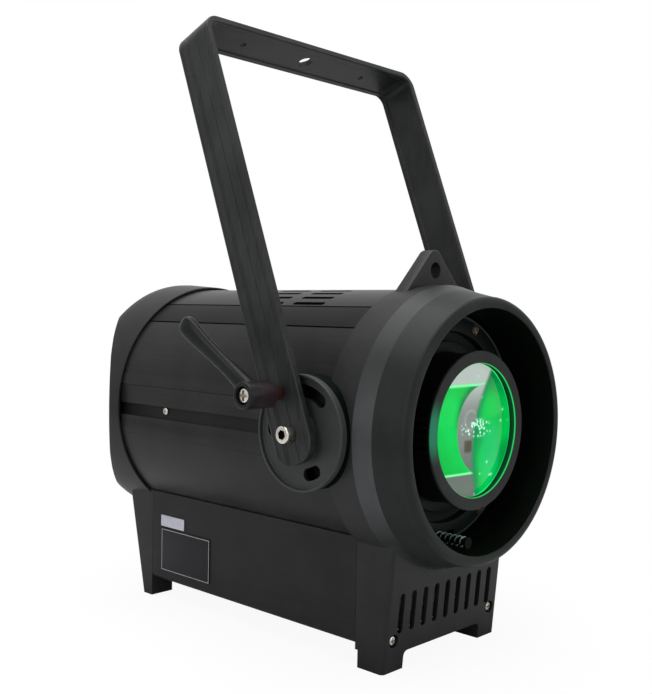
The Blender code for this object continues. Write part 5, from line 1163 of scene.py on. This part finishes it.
def viewThroughPaint():
    # A glowing disc painted with what a thick lens shows of the lit lamp behind it: all of it painted light.
    # u and v are millimetres from its centre: a green crescent on the left, a grey slice in the middle and a green
    # field on the right, with a painted pool of light, painted glints and a painted bright rim.
    paint = Paint("view through lens", Roughness=0.7, Specular_IOR_Level=0.0, Base_Color=(0, 0, 0, 1),
                  Emission_Strength=1.0)
    side, depth, v = paint.spot()
    u = side - 9
    wave = paint.noise(30, 2, 0.5)
    fine = paint.noise(240, 3, 0.7)
    edge = ((u + 9) * (u + 9) + v * v) ** 0.5
    ball = ((u - 8) * (u - 8) + (v + 1) * (v + 1)) ** 0.5

    pale = paint.mix(v.fade(10, 36), (0.25, 0.27, 0.26), (0.50, 0.56, 0.53))
    pale = paint.mix(v.fade(2, -30), pale, (0.16, 0.19, 0.17))
    bubble = (((u + 10) * (u + 10) + (v - 7) * (v - 7)) ** 0.5 - 7).size().fade(1.6, 0.3)
    pale = paint.mix(bubble * 0.35, pale, (0.50, 0.54, 0.52))
    patch = (u + 13).size().fade(6, 3) * (v + 12).size().fade(6, 3)
    pale = paint.mix(patch * 0.8, pale, (0.07, 0.05, 0.015))

    crescent = ball.fade(33.6, 34.4) * u.fade(12, 8) * v.fade(34.4, 33.6) * v.fade(-33.6, -32.6)
    leaf = paint.mix(wave.fade(0.35, 0.7), (0.0, 0.55, 0.065), (0.0, 0.72, 0.11))
    leaf = paint.mix(ball.fade(41, 35) * v.fade(-10, 25), leaf, (0.0, 0.26, 0.06))
    tips = (v - 33).size().fade(1.6, 0.6).most((v + 32.2).size().fade(1.4, 0.4))
    leaf = paint.mix(tips, leaf, (0.25, 1.0, 0.45))
    colour = paint.mix(crescent, pale, leaf)

    border = u - (v + 14).most(0) ** 2 * 0.0075 - (v + 14).least(0) ** 2 * 0.0055 + 9.5
    right = border.fade(-1.5, 4.0)
    field = paint.mix(wave.fade(0.3, 0.7), (0.0, 0.36, 0.055), (0.0, 0.62, 0.085))
    field = paint.mix(border.fade(12, 0), field, (0.0, 0.26, 0.10))
    field = paint.mix(v.fade(18, 44), field, (0.0, 0.20, 0.05))
    # A painted pool of brighter green light, low on the right.
    pool = ((u - 14) * (u - 14) + (v + 18) * (v + 18) * 0.3).fade(260, 30)
    field = paint.mix(pool * 0.5, field, (0.0, 0.70, 0.22))
    colour = paint.mix(right, colour, field)

    # Painted glints of the emitters, thickest near the middle.
    cells = paint.wire("ShaderNodeTexVoronoi", {}, {"Vector": paint.place, "Scale": 330})
    near = ((u + 3) * (u + 3) * 0.6 + (v - 1) * (v - 1) * 5).fade(330, 90)
    far = paint.wire("ShaderNodeTexVoronoi", {}, {"Vector": paint.place, "Scale": 110})
    spark = cells.fade(0.46, 0.34) * near + far.fade(0.16, 0.10) * u.fade(-8, 4) * 0.6
    colour = paint.mix(spark.least(1.0), colour, (0.55, 1.0, 0.80))
    colour = paint.mix(fine.fade(0.62, 0.74) * 0.25, colour, (0.02, 0.75, 0.35))
    colour = paint.mix((edge - 51.9).size().fade(0.9, 0.4), colour, (0.04, 0.80, 0.20))
    return paint.feed(Emission_Color=colour)


paints["view"] = viewThroughPaint()
dress(turned("view_through_lens", rod(52.8, barrel["seat"] + 4.36, barrel["seat"] + 4.52), centre=lensAt,
             steps=96), "view", "emitter", body="zoom_carriage")

carriage = {"face": 38, "thick": 4, "radius": 87.3, "recessOut": 73.4, "recessIn": 65.6, "recess": 45,
            "inner": 41, "back": 48, "bore": 57.3, "rods": (66, 184, 302.5), "rodCircle": 81.5,
            "rodHole": 4.6, "notch": (1, 10), "notchTop": 95}


def lensCarriage(size):
    face, radius, bore, back, inner = (size[key] for key in ("face", "radius", "bore", "back", "inner"))
    recess, recessIn, recessOut = size["recess"], size["recessIn"], size["recessOut"]
    rear, step = face + size["thick"], recessOut + 1.5
    profile = rounded([(radius, face), (radius, rear), (step, rear), (step, back), (bore, back),
                       (bore, inner), (recessIn, inner), (recessIn, recess), (recessOut, recess),
                       (recessOut, face)],
                      [0.6, 0, 0, 0, 0, 0.4, 0.6, 0.6, 0.6, 0.6], 3)
    plate = turned("lens_carriage_piece", profile, centre=lensAt, steps=144)
    tools = [turned("hole", rod(3.4, -10, 20), centre=(leadAt.x, face, leadAt.z), steps=32)]
    for x, z in around(size["rodCircle"], size["rods"], (0, axisZ)):
        tools.append(turned("hole", rod(size["rodHole"], -10, 20), centre=(x, face, z), steps=32))
    left, right = size["notch"]
    tools.append(block("notch", (left, face - 10, axisZ - radius - 10), (right, rear + 10, size["notchTop"]),
                       1.0))
    return cutEach(plate, tools)


dress(lensCarriage(carriage), "carriage", "black_paint", "lens_carriage")

spring = {"radius": 3.9, "wire": 0.6, "turns": 6, "start": 9.9, "end": 37.1}
coil = grow("stop_spring_piece", "coil",
            {"Turns": float(spring["turns"]), "Radius": spring["radius"] / 1000,
             "Wire": spring["wire"] / 1000, "Length": (spring["end"] - spring["start"]) / 1000,
             "Material": paints["springSteel"]},
            Matrix.Translation((leadAt.x / 1000, front + spring["end"] / 1000, leadAt.z / 1000))
            @ Matrix.Rotation(radians(90), 4, "X"))
dress(coil, "springSteel", "steel", "stop_spring")
print("lens system done")


# Rear panel, sockets, keys and window
panel = {"radius": 98.5, "depth": 358, "thick": 2, "socketX": 17.5, "socketZ": -43, "barrel": 11.8,
         "keyX": 22, "keyStep": 14, "keyRadius": 4.2, "windowX": -24, "windowZ": 6, "windowSize": (46, 24),
         "grilleSlots": 7, "grillePitch": 8.5, "grilleWide": 4.2, "grilleLow": 27, "grilleReach": 86,
         "grilleSide": 58.7, "screwCircle": 95.2}
socketSpots = [((i - 1.5) * 2 * panel["socketX"], axisZ + panel["socketZ"]) for i in range(4)]
keySpots = [(panel["keyX"] + (i % 2) * panel["keyStep"],
             axisZ + panel["windowZ"] + (0.5 - i // 2) * panel["keyStep"]) for i in range(4)]


def rearPanel(size):
    face = size["depth"] + size["thick"]
    profile = [(0, size["depth"]), (size["radius"], size["depth"]), (size["radius"], face - 0.4),
               (size["radius"] - 0.4, face), (0, face)]
    made = panelShape("rear_panel_piece", profile, tail["flat"])
    low, high = size["depth"] - 5, face + 5
    tools = [turned("hole", rod(radius, low, high), centre=(x, 0, z), steps=steps)
             for spots, radius, steps in ((socketSpots, size["barrel"], 40),
                                          (keySpots, size["keyRadius"] + 0.4, 32)) for x, z in spots]
    wide, tall = size["windowSize"][0] / 2 - 2, size["windowSize"][1] / 2 - 2
    tools.append(block("window", (size["windowX"] - wide, low, axisZ + size["windowZ"] - tall),
                       (size["windowX"] + wide, high, axisZ + size["windowZ"] + tall), 1.0))
    r = size["grilleWide"] / 2
    for i in range(size["grilleSlots"]):
        z = size["grilleLow"] + i * size["grillePitch"]
        reach = min(sqrt(size["grilleReach"] ** 2 - (z + r) ** 2), size["grilleSide"]) - r
        outline = around(r, range(-90, 91, 18), (reach, axisZ + z))
        outline += around(r, range(90, 271, 18), (-reach, axisZ + z))
        tools.append(prism("grille", outline, "Y", low, high))
    return cutEach(made, tools)


dress(rearPanel(panel), "casting", "black_paint", "rear_panel")
for name, start in (("panel_screws_below", 65), ("panel_screws_above", 245)):
    panelScrew = crossHead("panel_screw", "Y", (0, 0, 0), 1, 2.6, 1.8, 6, 1.4)
    dress(repeated(name, panelScrew, 3, (panel["screwCircle"], panel["depth"] + panel["thick"] + 0.05, 0),
                   turn=start, turnStep=25, paint="steel"), "steel", "steel", body="housing")

socket = {"flange": (13, 15.5), "thick": 2.5, "barrel": 11.5, "bore": 9, "length": 26, "recess": 12,
          "pin": 1.0, "pins": 5, "pinCircle": 5.2, "pinLong": 6}


def panelSocket(name, spot, size, pinned):
    x, z = spot
    seat = panel["depth"] + panel["thick"] + 0.3
    face = seat + size["thick"]
    half, tall = size["flange"]
    outline = rounded(box(x - half, z - tall, x + half, z + tall), 3, 5)
    flange = prism(name, outline, "Y", seat, face, edge=0.5)
    flange = cut(flange, turned("bore", rod(size["bore"], seat - 5, face + 5), centre=(x, 0, z), steps=48))
    bottom = face - size["recess"]
    cup = [(0, face - size["length"]), (size["barrel"], face - size["length"]), (size["barrel"], face - 0.6),
           (size["bore"], face - 0.6), (size["bore"], bottom), (0, bottom)]
    parts = [flange, turned("cup", cup, centre=(x, 0, z), steps=48)]
    if pinned:
        pin = turned("pin", rod(size["pin"], bottom - 0.5, bottom + size["pinLong"], 0.4), steps=12)
        parts.append(repeated("pins", pin, size["pins"], (size["pinCircle"], 0, 0), turn=150, turnStep=60,
                              centre=(x, 0, z), paint="brass"))
    else:
        parts.append(turned("core", rod(size["pinCircle"], bottom - 0.5, bottom + size["pinLong"], 0.6),
                            centre=(x, 0, z), steps=32))
    return joined(name, *parts)


for (label, paintName, slotName), spot in zip((("power_inlet", "blue", "socket_blue"),
                                               ("power_outlet", "grey", "socket_grey"),
                                               ("data_inlet", "blackPlastic", "plastic"),
                                               ("data_outlet", "blackPlastic", "plastic")), socketSpots):
    dress(panelSocket(label + "_piece", spot, socket, label == "data_inlet"), paintName, slotName, label)



def windowFrame(low, high):
    outline = rounded(box(low.x, low.z, high.x, high.z), 2, 5)
    return prism("display_window_piece", outline, "Y", low.y, high.y, edge=0.3)


def keyCap(name, low, high, radius, depth):
    # A dished cap with a flange under the panel and a stem.
    top, spot = high.y, ((low.x + high.x) / 2, 0, (low.z + high.z) / 2)
    profile = [(0, top - 0.25), (radius * 0.55, top - 0.2), (radius * 0.8, top), (radius - 0.3, top - 0.15),
               (radius, top - 0.7), (radius, depth - 0.3), (radius + 1.2, depth - 0.3),
               (radius + 1.2, depth - 1.5), (1.5, depth - 1.5), (1.5, low.y), (0, low.y)]
    return turned(name, profile, centre=spot, steps=36)


dress(windowFrame(*nodeBox("display_window")), "blackPlastic", "window", "display_window")
for label in ("button_menu", "button_up", "button_down", "button_enter"):
    dress(keyCap(label + "_piece", *nodeBox(label), panel["keyRadius"], panel["depth"]), "rubber", "plastic",
          label)
print("rear panel done")


# Plates and screws
def plateAt(name, node, paint, slot, corner):
    low, high = nodeBox(node)
    outline = rounded(box(low.y, low.z, high.y, high.z), corner, 4)
    return dress(prism(name, outline, "X", low.x, high.x, edge=0.1), paint, slot, node)


def borderedPaint(name, node, inside, border, line, inset, rough):
    # A bare plate: one fine border line round an empty field.
    paint = Paint(name, Specular_IOR_Level=0.15)
    low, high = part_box(node)
    x, y, z = paint.split()
    fromEdge = (y - low[1]).least(high[1] - y).least((z - low[2]).least(high[2] - z)) * 1000
    ring = fromEdge.fade(inset, inset + 0.1) * fromEdge.fade(inset + line + 0.1, inset + line)
    clouds = paint.noise(120, 3, 0.6)
    field = paint.mix(clouds.fade(0.3, 0.7), inside, tuple(c * 1.15 for c in inside))
    colour = paint.mix(ring, field, border)
    return paint.feed(paint.noise(1500, 2), 0.00002, Base_Color=colour, Roughness=clouds * 0.1 + rough)


paints["plate"] = borderedPaint("rating plate", "rating_plate", (0.008, 0.008, 0.011), (0.55, 0.55, 0.57),
                                0.3, 0.9, 0.36)
paints["sticker"] = borderedPaint("small sticker", "small_sticker", (0.40, 0.40, 0.46), (0.30, 0.29, 0.50),
                                  0.0, 0.7, 0.3)
plateAt("rating_plate_piece", "rating_plate", "plate", "plate_black", 1.0)
plateAt("small_sticker_piece", "small_sticker", "sticker", "foil", 0.8)

for side, sign in (("left", -1), ("right", 1)):
    spot = (sign * (body["landX"] - body["channelDeep"] + 0.3), body["screwDepth"], axisZ)
    dress(crossHead("side_screw_piece_" + side, "X", spot, sign, 3.0, 1.5, 7, 1.5), "steel", "steel",
          "side_screw_" + side)
for number, x in ((1, -casting["screwX"]), (2, casting["screwX"])):
    seat = casting["toe"] - casting["lean"] * casting["screwZ"] + 3.7
    spot = (x, seat, casting["screwZ"])
    dress(crossHead("skirt_screw_piece_%d" % number, "Y", spot, -1, 3.8, 2.8, 33, 2.0), "steel", "steel",
          "skirt_screw_%d" % number)
print("plates and screws done")

# Finishes of the CAD nodes that stay
# The lead screw takes the near-black painted shade, and the lens retainer the barrel's paint with its painted
# shade and green glow.
stays = {"steel": ("guide_rod_1", "guide_rod_2", "guide_rod_3", "slider_nut_left", "slider_nut_right"),
         "hood": ("lead_screw",),
         "blackPlastic": ("zoom_motor", "fan_frame", "fan_rotor"),
         "aluminium": ("lamp_plate", "heatsink", "fan_bracket", "power_supply", "pivot_block_left",
                       "pivot_block_right"),
         "whiteBoard": ("led_board",), "emitter": ("led_emitter",), "mirror": ("reflector",),
         "brass": ("slide_bush_1", "slide_bush_2", "slide_bush_3", "lead_nut"), "barrel": ("lens_retainer",),
         "circuitGreen": ("driver_board", "display_board")}
for paintName, names in stays.items():
    for name in names:
        nodes[name].data.materials.clear()
        nodes[name].data.materials.append(paints[paintName])
print("CAD nodes finished")


# Camera, floor, lamps
camera = {"heading": 43.44, "pitch": -2.05, "roll": 1.06, "lens": 50.34,
          "place": (-0.60254, -0.58481, 0.26102)}


def makeCamera(size):
    data = bpy.data.cameras.new("camera")
    data.lens, data.sensor_width, data.sensor_fit = size["lens"], 36, "AUTO"
    data.clip_start = 0.01
    made = linked("camera", data)
    h, p, r = (radians(size[key]) for key in ("heading", "pitch", "roll"))
    ahead = Vector((cos(h) * cos(p), sin(h) * cos(p), sin(p)))
    level = Vector((sin(h), -cos(h), 0))
    above = level.cross(ahead)
    right = level * cos(r) + above * sin(r)
    up = above * cos(r) - level * sin(r)
    turn = Matrix((right, up, -ahead)).transposed()
    made.matrix_world = Matrix.Translation(size["place"]) @ turn.to_4x4()
    bpy.context.scene.camera = made


def softBox(name, place, target, width, height, power):
    data = bpy.data.lights.new(name, "AREA")
    data.shape = "RECTANGLE"
    data.size, data.size_y, data.energy = width, height, power
    lamp = linked(name, data)
    lamp.location = place
    lamp.rotation_euler = (Vector(target) - Vector(place)).to_track_quat("-Z", "Y").to_euler()


def makeStage():
    bm = bmesh.new()
    bmesh.ops.create_grid(bm, x_segments=2, y_segments=2, size=6)
    floor = linked("floor", meshOf("floor", bm))
    floor.location.z = -0.0004
    material = bpy.data.materials.new("floor white")
    material.use_nodes = True
    tree = material.node_tree
    tree.nodes.clear()
    cloth = addNode(tree, "ShaderNodeBsdfDiffuse", {}, {"Color": (0.90, 0.90, 0.90, 1)})
    shine = addNode(tree, "ShaderNodeEmission", {}, {"Color": (1, 1, 1, 1), "Strength": 1.0})
    rays = addNode(tree, "ShaderNodeLightPath").outputs
    # Near the object the floor keeps its faint shadow; far off it is as white as the room.
    spot = addNode(tree, "ShaderNodeTexCoord").outputs["Object"]
    away = addNode(tree, "ShaderNodeVectorMath", {"operation": "LENGTH"}, {0: spot})
    clear = addNode(tree, "ShaderNodeMapRange", {"interpolation_type": "SMOOTHSTEP"},
                    {"Value": away.outputs["Value"], "From Min": 0.2, "From Max": 0.9, "To Min": 0.93,
                     "To Max": 1.0})
    seen = addNode(tree, "ShaderNodeMath", {"operation": "MULTIPLY"},
                   {0: rays["Is Camera Ray"], 1: clear.outputs[0]})
    both = addNode(tree, "ShaderNodeMixShader", {},
                   {0: seen.outputs[0], 1: cloth.outputs[0], 2: shine.outputs[0]})
    tree.links.new(both.outputs[0], addNode(tree, "ShaderNodeOutputMaterial").inputs[0])
    floor.data.materials.append(material)

    world = bpy.data.worlds.new("white room")
    bpy.context.scene.world = world
    world.use_nodes = True
    tree = world.node_tree
    tree.nodes.clear()
    rays = addNode(tree, "ShaderNodeLightPath").outputs
    first = addNode(tree, "ShaderNodeMath", {"operation": "MAXIMUM"},
                    {0: rays["Is Camera Ray"], 1: rays["Is Glossy Ray"]})
    bright = addNode(tree, "ShaderNodeMath", {"operation": "MAXIMUM"},
                     {0: first.outputs[0], 1: rays["Is Transmission Ray"]})
    level = addNode(tree, "ShaderNodeMapRange", {},
                    {"Value": bright.outputs[0], "To Min": 0.36, "To Max": 1.0})
    shine = addNode(tree, "ShaderNodeBackground", {}, {"Color": (1, 1, 1, 1), "Strength": level.outputs[0]})
    tree.links.new(shine.outputs[0], addNode(tree, "ShaderNodeOutputWorld").inputs[0])

    softBox("overhead", (-0.1, 0.0, 1.5), (0, 0, 0.2), 1.3, 1.3, 25)
    softBox("left", (-1.6, -0.3, 0.7), (0, 0, 0.2), 0.7, 1.0, 8)
    softBox("ahead", (0.6, -1.6, 0.6), (0, 0, 0.2), 1.0, 1.0, 5)


makeCamera(camera)
makeStage()
bpy.context.scene.view_settings.view_transform = "Standard"

print("scene ready")
